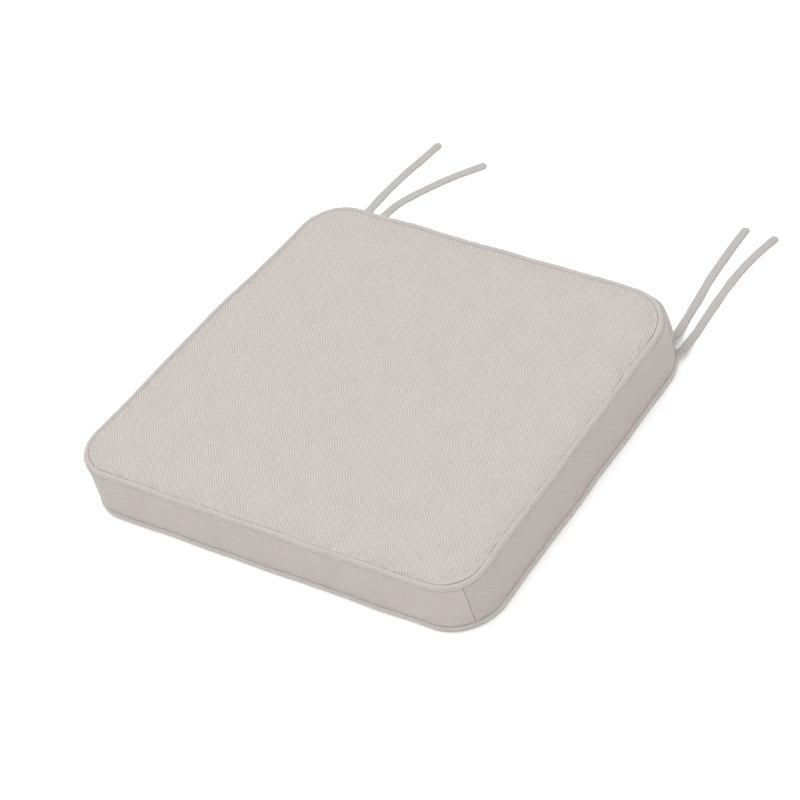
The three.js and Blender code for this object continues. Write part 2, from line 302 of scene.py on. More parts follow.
def side_columns(side, fineness=1):
    count = (ALONG if side in ("right", "left") else ACROSS) * fineness
    return (SIDE_START[side] * fineness + np.arange(count + 1)) % (RING * fineness)


# How far the left side's middle bows out, in millimetres, and the waves of a seam, outward and upward.
LEFT_BOW = 1.4
SWAY_WAVES = ((0.30, 7, 26, 0), (0.07, 60, 140, 4))
RISE_WAVES = ((0.22, 6, 22, 8), (0.05, 70, 150, 12))


def side_bow(fineness):
    """How far the left side bows outward in its middle and pulls in near its corners."""
    bow = np.zeros(RING * fineness)
    columns = side_columns("left", fineness)
    bow[columns] = -LEFT_BOW * MM * np.sin(3 * np.pi * np.arange(len(columns)) / (len(columns) - 1))
    return bow


def seam_sway(fineness, which):
    """How far the bottom (0) or top (1) seam wanders outward and upward along the outline."""
    count = RING * fineness
    outward = side_bow(fineness) * (0.55 + 0.45 * which) + waves(count, SWAY_WAVES, which)
    return outward, which * waves(count, RISE_WAVES)


# ---- Materials ----

def connect(shader, key, value):
    shader.id_data.links.new(value, shader.inputs[key])


def add_node(tree, kind, inputs=None, **settings):
    made = tree.nodes.new("ShaderNode" + kind)
    for key, value in settings.items():
        setattr(made, key, value)
    for key, value in (inputs or {}).items():
        if isinstance(value, bpy.types.NodeSocket):
            tree.links.new(value, made.inputs[key])
        else:
            made.inputs[key].default_value = value
    return made


def math_node(tree, operation, *values):
    return add_node(tree, "Math", dict(enumerate(values)), operation=operation).outputs[0]


def new_material(name, roughness, **shader_values):
    """A material whose shader's even values are set directly on its sockets."""
    material = bpy.data.materials.new(name)
    material.use_nodes = True
    shader = material.node_tree.nodes["Principled BSDF"]
    shader.inputs["Roughness"].default_value = roughness
    for key, value in shader_values.items():
        shader.inputs[key.replace("_", " ")].default_value = value
    return material, material.node_tree, shader


def mix_colours(tree, factor, first, second, blend="MIX"):
    made = add_node(tree, "Mix", data_type="RGBA", blend_type=blend)
    for socket, value in ((made.inputs[0], factor), (made.inputs[6], first), (made.inputs[7], second)):
        if isinstance(value, bpy.types.NodeSocket):
            tree.links.new(value, socket)
        else:
            socket.default_value = value
    return made.outputs[2]


def tones(colour, dark, light):
    """A darker and a lighter tone of a colour."""
    return tuple(c * dark for c in colour) + (1,), tuple(min(c * light, 1) for c in colour) + (1,)


def set_bump(tree, shader, height, strength, distance):
    bump = add_node(tree, "Bump", {"Height": height, "Strength": strength, "Distance": distance})
    connect(shader, "Normal", bump.outputs["Normal"])


def noise(tree, vector, scale, detail=2.0, roughness=0.5, output="Fac"):
    values = {"Vector": vector, "Scale": scale, "Detail": detail, "Roughness": roughness}
    return add_node(tree, "TexNoise", values).outputs[output]


def cloth_place(tree, turn=0.0, mirror=1):
    """The cloth place in millimetres, turned by an angle and mirrored across its length."""
    place = add_node(tree, "UVMap", uv_map="cloth").outputs["UV"]
    scale = (1 / MM, mirror / MM, 1 / MM)
    return add_node(tree, "Mapping", {"Vector": place, "Rotation": (0, 0, turn), "Scale": scale}).outputs[0]


# How far apart the threads are in millimetres, and after how many threads the weave repeats.
TWILL_PITCH = 0.80
TWILL_REPEAT = 4
# Each size of unevenness in a twill: how often it comes in a millimetre, and how fine its detail is.
WANDER = (0.045, 2.0)
MOTTLE = (0.035, 3.0)
BLEND = (0.11, 2.5)
FIBRE = (2.4, 2.0)
# How far the threads wander, in millimetres.
WANDER_REACH = 3.2


def twill(name, colour, mirror=1, turn=0.0, contrast=1.0):
    """A two-over-two twill. Its ridges run at 45 degrees to the threads, and mirror = -1 turns them over."""
    material, tree, shader = new_material(
        name, 0.88, Sheen_Weight=0.12, Sheen_Roughness=0.45, Specular_IOR_Level=0.22,
    )
    calc = partial(math_node, tree)
    flat = cloth_place(tree, turn, mirror)
    # The threads wander a little, as woven cloth does.
    wander = noise(tree, flat, *WANDER, output="Color")
    wander = add_node(tree, "VectorMath", {0: wander, 1: (0.5, 0.5, 0.5)}, operation="SUBTRACT").outputs[0]
    wander = add_node(tree, "VectorMath", {0: wander, "Scale": WANDER_REACH}, operation="SCALE").outputs[0]
    moved = add_node(tree, "VectorMath", {0: flat, 1: wander}, operation="ADD").outputs[0]
    split = add_node(tree, "SeparateXYZ", {0: moved}).outputs
    warp = calc("DIVIDE", split[0], TWILL_PITCH)
    weft = calc("DIVIDE", split[1], TWILL_PITCH)
    step = calc("ADD", calc("FLOOR", warp), calc("FLOOR", weft))
    phase = calc("FRACT", calc("DIVIDE", calc("ADD", step, 0.5), TWILL_REPEAT))
    over = calc("LESS_THAN", phase, 0.5)
    under = calc("SUBTRACT", 1.0, over)
    warp_round = calc("SINE", calc("MULTIPLY", calc("FRACT", warp), math.pi))
    weft_round = calc("SINE", calc("MULTIPLY", calc("FRACT", weft), math.pi))
    raised = calc("MULTIPLY", over, calc("MULTIPLY_ADD", warp_round, 0.6, 0.5))
    lower = calc("MULTIPLY", under, calc("MULTIPLY", weft_round, 0.6))
    height = calc("ADD", raised, lower)
    # Each yarn has its own thick and thin, light and dark stretches.
    threads = add_node(tree, "CombineXYZ", {"X": warp, "Y": weft}).outputs[0]
    warp_yarn = add_node(tree, "Mapping", {"Vector": threads, "Scale": (0.9, 0.10, 1)}).outputs[0]
    weft_yarn = add_node(tree, "Mapping", {"Vector": threads, "Scale": (0.10, 0.9, 1)}).outputs[0]
    slub = calc("ADD", calc("MULTIPLY", over, noise(tree, warp_yarn, 1.0, 1.5)),
                calc("MULTIPLY", under, noise(tree, weft_yarn, 1.0, 1.5)))
    mottle = noise(tree, flat, *MOTTLE)
    fibre = noise(tree, flat, *FIBRE)
    tone = calc("MULTIPLY_ADD", over, 0.17 * contrast, 0.87 - 0.085 * (contrast - 1))
    for part, amount in ((slub, 0.3 * contrast), (mottle, 0.10), (fibre, 0.26)):
        tone = calc("ADD", tone, calc("MULTIPLY_ADD", part, amount, -amount / 2))
    shade = add_node(tree, "CombineXYZ", {"X": tone, "Y": tone, "Z": tone}).outputs[0]
    # The yarns are a blend of a warmer and a cooler grey.
    warm = (colour[0] * 1.02, colour[1] * 0.995, colour[2] * 0.97, 1)
    cool = (colour[0] * 0.975, colour[1] * 1.0, colour[2] * 1.03, 1)
    yarn = mix_colours(tree, noise(tree, flat, *BLEND), warm, cool)
    connect(shader, "Base Color", mix_colours(tree, 1.0, yarn, shade, "MULTIPLY"))
    for part, amount in ((slub, 0.8), (fibre, 0.5)):
        height = calc("ADD", height, calc("MULTIPLY", part, amount))
    set_bump(tree, shader, height, 0.55, 0.16 * MM)
    return material


def soft_material(name, colour, roughness, grain, depth, spread=0.12, sheen=0.1):
    """A felted or foamed material: two sizes of noise in its colour and surface."""
    material, tree, shader = new_material(name, roughness, Sheen_Weight=sheen, Specular_IOR_Level=0.15)
    calc = partial(math_node, tree)
    place = add_node(tree, "TexCoord").outputs["Object"]
    fine = noise(tree, place, grain, 4.0, 0.65)
    coarse = noise(tree, place, grain / 9, 2.0)
    both = calc("ADD", calc("MULTIPLY", fine, 0.65), calc("MULTIPLY", coarse, 0.35))
    dark, light = tones(colour, 1 - spread, 1 + spread)
    connect(shader, "Base Color", mix_colours(tree, both, dark, light))
    set_bump(tree, shader, both, 0.7, depth)
    return material


def metal_material(name, colour):
    """Satin nickel plate: fine brushed lines and a little uneven polish."""
    material, tree, shader = new_material(name, 0.34, Metallic=1.0)
    place = add_node(tree, "TexCoord").outputs["Object"]
    lines = add_node(tree, "Mapping", {"Vector": place, "Scale": (900, 9000, 9000)}).outputs[0]
    brushed = noise(tree, lines, 1.0, 3.0)
    worn = noise(tree, place, 700, 3.0)
    connect(shader, "Base Color", mix_colours(tree, worn, *tones(colour, 0.86, 1.12)))
    rough = math_node(tree, "MULTIPLY_ADD", brushed, 0.16, 0.22)
    connect(shader, "Roughness", math_node(tree, "MULTIPLY_ADD", worn, 0.14, rough))
    set_bump(tree, shader, brushed, 0.25, 0.02 * MM)
    return material


def nylon_material(name, colour):
    """Extruded nylon wire: smooth, with faint streaks along it."""
    material, tree, shader = new_material(name, 0.38, Specular_IOR_Level=0.5)
    place = add_node(tree, "TexCoord").outputs["Object"]
    streaks = noise(tree, place, 1600, 3.0)
    connect(shader, "Base Color", mix_colours(tree, streaks, *tones(colour, 0.9, 1.1)))
    connect(shader, "Roughness", math_node(tree, "MULTIPLY_ADD", streaks, 0.2, 0.3))
    set_bump(tree, shader, streaks, 0.2, 0.02 * MM)
    return material


def tape_material(name, colour):
    """Woven tape: fine ribs along it, crossed by finer ones in a herringbone."""
    material, tree, shader = new_material(name, 0.85, Sheen_Weight=0.1, Specular_IOR_Level=0.2)
    calc = partial(math_node, tree)
    along, across = add_node(tree, "SeparateXYZ", {0: cloth_place(tree)}).outputs[:2]
    slanted = calc("ADD", along, calc("PINGPONG", across, TAPE_RIB * 3))
    rib = calc("SINE", calc("MULTIPLY", slanted, 2 * math.pi / TAPE_RIB))
    column = calc("SINE", calc("MULTIPLY", across, 2 * math.pi / TAPE_RIB))
    height = calc("MULTIPLY_ADD", rib, 0.3, calc("MULTIPLY_ADD", column, 0.2, 0.5))
    connect(shader, "Base Color", mix_colours(tree, height, *tones(colour, 0.82, 1.12)))
    set_bump(tree, shader, height, 0.5, 0.1 * MM)
    return material


# The tape's ribs are this far apart, in millimetres.
TAPE_RIB = 0.7
# The cloth's colour on the top, its painted-shade copies on the front and back and the sides, each piping's
# (the bottom's a painted highlight), the ties' and the thread's.
COVER = (0.570, 0.529, 0.502)
FRONT_BAND_PAINTED_SHADE = (0.565, 0.510, 0.490)
SIDE_BAND_PAINTED_SHADE = (0.530, 0.478, 0.459)
WELT = (0.565, 0.526, 0.5)
LOW_WELT_PAINTED_HIGHLIGHT = (0.63, 0.588, 0.56)
TIE = (0.515, 0.49, 0.47)
THREAD = (0.53, 0.49, 0.465)

TWILLS = {
    "flat": twill("twill_flat", COVER, contrast=1.55),
    # The front and side twills are darker copies of the top's cloth: painted shade.
    "front": twill("twill_front_painted_shade", FRONT_BAND_PAINTED_SHADE, mirror=-1, contrast=1.05),
    "side": twill("twill_side_painted_shade", SIDE_BAND_PAINTED_SHADE, contrast=0.95),
    "welt": twill("twill_bias", WELT, turn=math.pi / 4, contrast=0.7),
    # The bottom piping's twill is a lighter copy of the top piping's: a painted highlight.
    "low_welt_painted_highlight": twill("twill_bias_low_painted_highlight", LOW_WELT_PAINTED_HIGHLIGHT, turn=math.pi / 4, contrast=0.7),
    "tie": twill("twill_tie", TIE, contrast=0.8),
}
THREAD_FINISH = soft_material("sewing_thread", THREAD, 0.6, 900, 0.05 * MM)
COTTON = soft_material("cotton_cord", (0.78, 0.74, 0.68), 0.9, 700, 0.1 * MM)
LINING = soft_material("nonwoven_lining", (0.84, 0.83, 0.8), 0.8, 260, 0.05 * MM, spread=0.05)
WADDING = soft_material("polyester_wadding", (0.9, 0.9, 0.89), 0.95, 160, 0.5 * MM, spread=0.06, sheen=0.3)
FOAM = soft_material("open_cell_foam", (0.84, 0.78, 0.62), 0.95, 520, 0.3 * MM, spread=0.1)
METAL = metal_material("satin_nickel", (0.60, 0.60, 0.61))
NYLON = nylon_material("coil_nylon", (0.50, 0.47, 0.43))
TAPE = tape_material("zip_tape_weave", (0.53, 0.50, 0.46))


# ---- Ties ----

# Each route is the middle of one strip in millimetres, from the seam to its free end, as it is in the
# solid model. Then come its length in metres and how many millimetres its end is rounded by.
TIES = {
    "tie_left_outer": ([
        (-196.8, 172.4, 7.3), (-199.5, 178.5, 6.9), (-201.5, 188, 4.4), (-203, 200, 2.2),
        (-204.2, 218, 1.4), (-204.2, 239, 1.3), (-203.6, 266, 1.3), (-200.6, 296, 1.3),
        (-197, 317, 1.3), (-193.8, 340.5, 1.3),
    ], 0.170, 3.3),
    "tie_left_inner": ([
        (-182.7, 184.4, 7.3), (-184.4, 190.4, 6.9), (-185.7, 199, 4.3), (-186, 209, 2.1),
        (-185.8, 221, 1.4), (-184.8, 238, 1.3), (-179.9, 258, 1.3), (-165.7, 284, 1.3),
        (-150.2, 307, 1.3), (-130.6, 330.2, 1.3),
    ], 0.163, 3.3),
    "tie_right_inner": ([
        (180.4, 183.3, 7.3), (181.5, 189.1, 7), (179.2, 197, 4.4), (176.4, 207, 2.1),
        (173.9, 221, 1.4), (170.6, 243, 1.3), (166.5, 267, 1.3), (164, 293, 1.3),
        (162.3, 316, 1.3), (161.4, 338.5, 1.3),
    ], 0.158, 1),
    "tie_right_outer": ([
        (196.1, 170.9, 7.3), (197.6, 176.6, 6.9), (195.6, 185.5, 4.4), (193.8, 196, 2.2),
        (193.1, 206, 1.4), (191.4, 219, 1.3), (188.9, 245, 1.3), (187.2, 270, 1.3),
        (187.4, 293, 1.3), (189.9, 315, 1.3), (194.4, 337.5, 1.3),
    ], 0.169, 1),
}
TIE_WIDTH = 0.0084
TIE_THICKNESS = 0.0021
TIE_RINGS = 110
# How many steps a route's curve has between two of its points.
ROUTE_STEPS = 40
# How far a strip runs on inside the seam, in millimetres.
TIE_ROOT = 6
# A strip's section: its points, how square it is across and through, and its stitching's depth, place and
# width as shares of the strip.
TIE_SIDES = 40
TIE_POWERS = (0.45, 0.7)
TIE_STITCHING = (0.14, 0.72, 0.09)
# How much a strip's width varies along it, and at how many places.
TIE_WOBBLE = 0.025
TIE_PLACES = 60


def smooth_route(points, count):
    """A Catmull-Rom curve through the points, as count points spaced evenly along it."""
    points = np.array(points, float) * MM
    padded = np.concatenate([2 * points[:1] - points[1:2], points, 2 * points[-1:] - points[-2:-1]])
    share = np.linspace(0, 1, ROUTE_STEPS, endpoint=False)[:, None]
    pieces = []
    for a, b, c, d in zip(padded, padded[1:], padded[2:], padded[3:]):
        pieces.append(0.5 * (2 * b + (c - a) * share + (2 * a - 5 * b + 4 * c - d) * share ** 2
                             + (3 * b - a - 3 * c + d) * share ** 3))
    line = np.concatenate([*pieces, points[-1:]])
    travelled = distance_along(line)
    even = np.linspace(0, travelled[-1], count)
    return np.stack([np.interp(even, travelled, line[:, axis]) for axis in range(3)], -1)


def tie_section():
    """A folded strip's section: rounded edges and a line of stitching sunk a little near each edge."""
    parts = circle(2 * np.pi * np.arange(TIE_SIDES) / TIE_SIDES).T
    across, through = (np.sign(part) * np.abs(part) ** power for part, power in zip(parts, TIE_POWERS))
    depth, place, width = TIE_STITCHING
    sunk = depth * np.exp(-((np.abs(across) - place) / width) ** 2)
    return np.stack([across * TIE_WIDTH / 2, through * (1 - sunk) * TIE_THICKNESS / 2], -1)


def add_tie(name, points, rounding, seed):
    first, second = np.array(points[:2])
    sewn_in = first + TIE_ROOT * unit(first - second)
    route = smooth_route([sewn_in, *points], TIE_RINGS)
    travelled = distance_along(route)
    left = travelled[-1] - travelled
    rounding *= MM
    share = np.clip(1 - left / rounding, 0, 1)
    narrow = np.sqrt(np.clip(1 - share ** 2, 0.0, 1))
    narrow = 1 - (1 - narrow) * min(1, rounding / (TIE_WIDTH / 2) + 0.1)
    known = np.linspace(0, travelled[-1], TIE_PLACES)
    wobble = 1 + TIE_WOBBLE * np.interp(travelled, known, random_wave(TIE_PLACES, 3, 14, seed))
    section = np.repeat(tie_section()[None], TIE_RINGS, 0)
    section[..., 0] *= (narrow * wobble)[:, None]
    section[..., 1] *= np.clip(narrow * 1.3, 0.3, 1)[:, None]
    tie = tube_piece(name + "_strip", route, section[:, ::-1], UP, TWILLS["tie"], "tie_twill", name)


add_camera()
for number, (tie_name, (tie_points, tie_length, tie_rounding)) in enumerate(TIES.items()):
    add_tie(tie_name, tie_points, tie_rounding, SEED + 40 + number)


# ---- Cover ----

# Rows of the cover as (inset, height) in millimetres: the underside from its middle ring to the bottom
# seam, the side band from the bottom seam to the top one, and the top from its seam to its middle ring.
# The top's heights are above the seam. The band comes down over the bottom piping.
BOTTOM_ROWS = (
    (40, 0.1), (24, 0.1), (14, 0.1), (10.2, 0.15), (8.6, 0.45), (7.5, 1.1), (6.9, 2.2), (6.75, 3.6),
    (6.8, 5.2),
)
BAND_ROWS = (
    (6.4, 7.3), (4.9, 6.9), (3.4, 6.65), (2.5, 6.5), (2.05, 6.5), (1.8, 6.75), (1.65, 7.4), (1.5, 8.9),
    (1.35, 11), (1.25, 14), (1.15, 20), (1.1, 28.5), (1.05, 36), (0.85, 42), (0.55, 46.5), (0.3, 49.6),
    (0.25, 51.7), (0.6, 53.0), (1.25, 53.2), (2.2, 51.9), (4.2, 51.6), (5.8, 51.2),
)
TOP_ROWS = (
    (5.9, -4.6), (5.8, -3.0), (5.65, -2.0), (5.62, -1.3), (6.0, -0.65), (6.8, -0.1), (8.6, 0.55),
    (12, 1.2), (16, 1.7), (22, 2.2), (30, 2.6), (40, 2.85),
)
# How many rows of the band lie over the bottom piping, and under the top one.
LOW_TURN = 7
HIGH_TURN = 5
# How many times finer the finished cover is than the cloth that is simulated.
FINE = 2


def cover_rows():
    """The rows of the cover in metres, bottom middle to top middle, and where the band and the top start."""
    top = [(inset, SEAM_HEIGHT / MM + z) for inset, z in TOP_ROWS]
    rows = np.array([*BOTTOM_ROWS, *BAND_ROWS, *top]) * MM
    return rows, len(BOTTOM_ROWS), len(BOTTOM_ROWS) + len(BAND_ROWS)


ROWS, BAND_START, TOP_START = cover_rows()


def cap_grid(ring):
    """A grid that fills a closed ring, first axis from left to right and second from front to back."""
    fineness = len(ring) // RING
    right, back, left, front = (ring[side_columns(side, fineness)] for side in SIDE_START)
    back, left = back[::-1], left[::-1]
    u = np.linspace(0, 1, len(front))[:, None, None]
    v = np.linspace(0, 1, len(right))[None, :, None]
    across = (1 - v) * front[:, None] + v * back[:, None]
    along = (1 - u) * left[None] + u * right[None]
    corners = ((1 - u) * ((1 - v) * front[0] + v * back[0]) + u * ((1 - v) * front[-1] + v * back[-1]))
    return across + along - corners


def cap_numbers(ring_first, inner_first, fineness):
    """The point numbers of a cap: those on its edge are the ring's own."""
    shape = (ACROSS * fineness + 1, ALONG * fineness + 1)
    numbers = np.empty(shape, int)
    inner = (shape[0] - 2, shape[1] - 2)
    numbers[1:-1, 1:-1] = inner_first + np.arange(inner[0] * inner[1]).reshape(inner)
    numbers[-1, :] = ring_first + side_columns("right", fineness)
    numbers[::-1, -1] = ring_first + side_columns("back", fineness)
    numbers[0, ::-1] = ring_first + side_columns("left", fineness)
    numbers[:, 0] = ring_first + side_columns("front", fineness)
    return numbers


def cap_faces(ring_first, inner_first, fineness, upward):
    """A cap's faces, which look up or down."""
    numbers = cap_numbers(ring_first, inner_first, fineness)
    faces = numbers.ravel()[lattice(*numbers.shape)[0]]
    return faces[:, ::-1] if upward else faces


def closed_form(rings, bottom, top):
    """Points and faces of a closed form: rings from the bottom to the top, and a cap at each end."""
    count, size = rings.shape[:2]
    fineness = size // RING
    inner_low = bottom[1:-1, 1:-1].reshape(-1, 3)
    inner_high = top[1:-1, 1:-1].reshape(-1, 3)
    points = np.concatenate([rings.reshape(-1, 3), inner_low, inner_high])
    faces = np.concatenate([
        lattice(count, size, wrap_columns=True)[0],
        cap_faces(0, count * size, fineness, False),
        cap_faces((count - 1) * size, count * size + len(inner_low), fineness, True),
    ])
    return points, faces


def plain_rings(rows, fineness):
    """A ring of points for each (inset, height) row."""
    rings = []
    for inset, z in rows:
        flat, _ = outline(inset, np.clip(z / SEAM_HEIGHT, 0, 1), fineness)
        rings.append(np.column_stack([flat, np.full(len(flat), z)]))
    return np.array(rings)


# The simulation's length and settings, and the most that it may move a point.
CLOTH_FRAMES = 20
CLOTH_SETTINGS = {
    "quality": 4,
    "mass": 0.25,
    "tension_stiffness": 18,
    "compression_stiffness": 18,
    "shear_stiffness": 8,
    "bending_stiffness": 0.6,
    "use_pressure": True,
    "uniform_pressure_force": 4,
    "shrink_min": -0.012,
    "vertex_group_mass": "pinned",
}
SHOULDER_CAP = 0.0016


def inflated(rings, bottom, top):
    """How far each point moves when the closed cover is sewn down along its seams and filled with pressure.
    The cloth is cut a little larger than the form, so it puckers along the seams."""
    points, faces = closed_form(rings, bottom, top)
    mesh = bpy.data.meshes.new("cloth")
    mesh.from_pydata(points.tolist(), [], faces.tolist())
    cloth = add_object("cloth", mesh)
    pinned = points[:, 2] < 2 * WELT_RADIUS
    seam_rows = [*range(BAND_START, BAND_START + LOW_TURN), *range(TOP_START - HIGH_TURN, TOP_START + 4)]
    for row in seam_rows:
        pinned[row * RING:(row + 1) * RING] = True
    group = cloth.vertex_groups.new(name="pinned")
    group.add(np.nonzero(pinned)[0].tolist(), 1.0, "REPLACE")
    modifier = cloth.modifiers.new("cloth", "CLOTH")
    for key, value in CLOTH_SETTINGS.items():
        setattr(modifier.settings, key, value)
    modifier.settings.effector_weights.gravity = 0
    modifier.point_cache.frame_start = 1
    modifier.point_cache.frame_end = CLOTH_FRAMES
    for number in range(1, CLOTH_FRAMES + 1):
        bpy.context.scene.frame_set(number)
    shaped = cloth.evaluated_get(bpy.context.evaluated_depsgraph_get()).data
    moved = np.zeros(len(points) * 3, np.float32)
    shaped.vertices.foreach_get("co", moved)
    bpy.data.objects.remove(cloth)
    bpy.data.meshes.remove(mesh)
    bpy.context.scene.frame_set(1)
    return moved.reshape(-1, 3) - points


def capped(moves, most):
    """Moves shortened smoothly so that none is longer than most."""
    lengths = np.linalg.norm(moves, axis=-1, keepdims=True)
    return moves * most * np.tanh(lengths / most) / np.maximum(lengths, 1e-9)


def simulated_moves():
    """The cloth's moves for the rings and for the top cap, on the finished cover's finer mesh."""
    rings = plain_rings(ROWS, 1)
    caps = cap_grid(rings[0]), cap_grid(rings[-1])
    inner = (ACROSS - 1) * (ALONG - 1)
    moves = np.zeros((rings.shape[0] * RING + 2 * inner, 3))
    moves = capped(inflated(rings, *caps), SHOULDER_CAP)
    on_rings = moves[:rings.shape[0] * RING].reshape(rings.shape)
    on_top = cap_grid(on_rings[-1])
    on_top[1:-1, 1:-1] = moves[-inner:].reshape(ACROSS - 1, ALONG - 1, 3)
    return refined(on_rings, True, 1), refined(refined(on_top, False, 0), False, 1)


# Columns of the finished cover's ring where each side band starts and stops. The seam at the front right
# corner lies a little past the corner's middle.
CORNER_SEAMS = {"front_right": 2, "back_right": ALONG * FINE, "back_left": (ALONG + ACROSS) * FINE,
                "front_left": (2 * ALONG + ACROSS) * FINE}
# How far the rear band stands out past each rear corner's seam, and how far along it that is greatest.
EAR = {"back_right": (1, 0.0046), "back_left": (-1, 0.0030)}
EAR_REACH = 0.009
# How far a rear corner's seam is pulled in.
SEAM_PULL = 0.0005


def corner_bulge():
    """The outward bulge of the rear band's stiff ends, and the pull of the rear corner seams."""
    flat, _ = outline(0, 0.5, FINE)
    travelled = distance_along(flat)
    bulge = np.zeros(len(flat))
    for seam, (towards_back, most) in EAR.items():
        past = (travelled - travelled[CORNER_SEAMS[seam]]) * towards_back / EAR_REACH
        bulge += np.where(past > 0, most * past * np.exp(1 - np.maximum(past, 0)), 0)
        bulge -= SEAM_PULL * np.exp(-(past / 0.25) ** 2)
    return bulge


# The cover's unevenness in millimetres: the band's swell, its puckers under the top seam and over the bottom
# one, the top's puckers beside its seam, and how far from a seam the band's and the top's puckers reach.
SWELL = 0.30
TOP_PUCKER = 0.16
LOW_PUCKER = 0.14
FACE_PUCKER = 0.13
BAND_FADE = 6
FACE_FADE = 5
# How far in from the outline its wander fades away, in millimetres.
SWAY_FADE = 26
# How many waves of each kind go round the outline, as (least, most).
PUCKERS = (105, 185)
SWELLS = (9, 30)
# How far the middle of the top rises, how high its ripples are in millimetres, and each one's turns for a
# metre across and along, and its start.
DOME = 0.15
RIPPLE = 0.09
RIPPLES = ((41, 23, 1.1), (-29, 52, 0.4), (67, -18, 2.3))


def shaped_cover():
    """The finished cover: its rings, its bottom cap and its top cap."""
    size = RING * FINE
    rings = plain_rings(ROWS, FINE)
    ring_moves, top_moves = simulated_moves()
    rings += ring_moves
    outwards = outline(0, 1, FINE)[1]
    low_sway, _ = seam_sway(FINE, 0)
    high_sway, high_rise = seam_sway(FINE, 1)
    pucker = random_wave(size, *PUCKERS, SEED + 20)
    low_pucker = random_wave(size, *PUCKERS, SEED + 21)
    swell = random_wave(size, *SWELLS, SEED + 22)
    bulge = corner_bulge()
    for row, (inset, z) in enumerate(ROWS):
        share = np.clip(z / SEAM_HEIGHT, 0, 1)
        fade = math.exp(-max(inset - TOP_ROWS[0][0] * MM, 0) / (SWAY_FADE * MM))
        sway = (low_sway + (high_sway - low_sway) * share) * fade
        rise = high_rise * share * fade
        if BAND_START <= row < TOP_START:
            from_top = SEAM_HEIGHT - 2 * WELT_RADIUS - z
            from_bottom = z - 2 * WELT_RADIUS
            sway = sway + SWELL * MM * swell * math.sin(math.pi * share) ** 2
            sway = sway + bulge * math.sin(math.pi * share) ** 0.6
            sway = sway + TOP_PUCKER * MM * pucker * math.exp(-max(from_top, 0) / (BAND_FADE * MM))
            sway = sway + LOW_PUCKER * MM * low_pucker * math.exp(-max(from_bottom, 0) / (BAND_FADE * MM))
        elif row > TOP_START + 2:
            rise = rise + FACE_PUCKER * MM * pucker * math.exp(-(inset - 7 * MM) / (FACE_FADE * MM))
        rings[row, :, :2] += outwards * sway[:, None]
        rings[row, :, 2] += rise
    bottom = cap_grid(rings[0])
    top = cap_grid(rings[-1])
    x, y = top[..., 0], top[..., 1]
    ripple = sum(np.sin(a * x + b * y + start) for a, b, start in RIPPLES)
    inner_moves = top_moves - cap_grid(ring_moves[-1])
    top[1:-1, 1:-1] += inner_moves[1:-1, 1:-1]
    top[..., 2] += dome(top.shape) * (DOME + RIPPLE * ripple) * MM
    return rings, bottom, top


def add_thickness(piece, thickness):
    """Gives a sheet its thickness, towards its inside."""
    modifier = piece.modifiers.new("thickness", "SOLIDIFY")
    modifier.thickness = thickness
    modifier.offset = -1


def add_face(name, rings, cap, node, upward):
    """The top or the underside of the cover: its rings and its cap in one piece."""
    count, size = rings.shape[:2]
    points = np.concatenate([rings.reshape(-1, 3), cap[1:-1, 1:-1].reshape(-1, 3)])
    walls, _ = lattice(count, size, wrap_columns=True)
    middle = cap_faces((count - 1) * size if upward else 0, count * size, FINE, upward)
    faces = np.concatenate([walls, middle])
    piece = add_piece(name, points, faces, points[faces.ravel(), :2], TWILLS["flat"], "cover_twill",
                      replaces=(node,))
    add_thickness(piece, CLOTH)


# How far from its end, and how far inward, a band's cloth turns into a corner seam, in millimetres.
SEAM_TURN = ((0.7, 0.02), (0.35, 0.1), (0.14, 0.35), (0.06, 1.1), (0.06, 2.1))


def turned_in(grid, outwards):
    """A band's grid with the cloth at both of its ends turned inward, into the seam."""
    for _ in range(2):
        grid = grid[:, ::-1]
        outwards = outwards[::-1]
        end, ahead = grid[:, -1], unit(grid[:, -1] - grid[:, -2])
        inward = np.append(-outwards[-1], 0)
        turns = [end - ahead * back * MM + inward * deep * MM for back, deep in SEAM_TURN]
        grid = np.concatenate([grid[:, :-1], np.stack(turns, 1)], 1)
        outwards = np.concatenate([outwards[:-1], np.repeat(outwards[-1:], len(turns), 0)])
    return grid


def band_flat(grid, start):
    """The cloth place of a band's points: how far along it, and how high up it, they lie."""
    middle = grid[len(grid) // 2]
    along = distance_along(middle) + start
    up = distance_along(grid[:, grid.shape[1] // 2])
    return np.stack(np.meshgrid(along, up), -1)


def add_band(name, rings, first, last, node, cloth):
    columns = np.arange(first, last + 1) % rings.shape[1]
    outwards = outline(0, 1, FINE)[1][columns]
    grid = turned_in(rings[BAND_START:TOP_START][:, columns], outwards)
    band = grid_piece(name, grid, band_flat(grid, first * MM), TWILLS[cloth], "cover_twill", replaces=(node,))
    add_thickness(band, CLOTH)


ZIP_HEIGHT = (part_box("zip_slider")[0].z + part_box("zip_slider")[1].z) / 2
ZIP_LEFT, ZIP_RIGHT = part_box("zip_tape_upper")[0].x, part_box("zip_tape_upper")[1].x
# Half the height of the opening in front of the zip and past its ends, and how far past them it closes.
ZIP_OPENING = 0.0041
ZIP_SEAM = 0.00012
ZIP_END = 0.006


def zip_gap(x):
    """Half the height of the opening in the rear band, which closes to a seam past the zip's ends."""
    inside = np.clip((np.minimum(x - ZIP_LEFT, ZIP_RIGHT - x) + ZIP_END) / ZIP_END, 0, 1)
    return ZIP_SEAM + ZIP_OPENING * smooth_step(inside)


# The band is sunk past each end of the zip, where the pull can lie: how deep, half how high, and where the
# hollow starts, is full, starts to fade and is gone, as distances from the middle of the back.
HOLLOW_DEPTH = 0.0041
HOLLOW_HALF = 0.0050
HOLLOW_REACH = (0.137, 0.142, 0.160, 0.168)


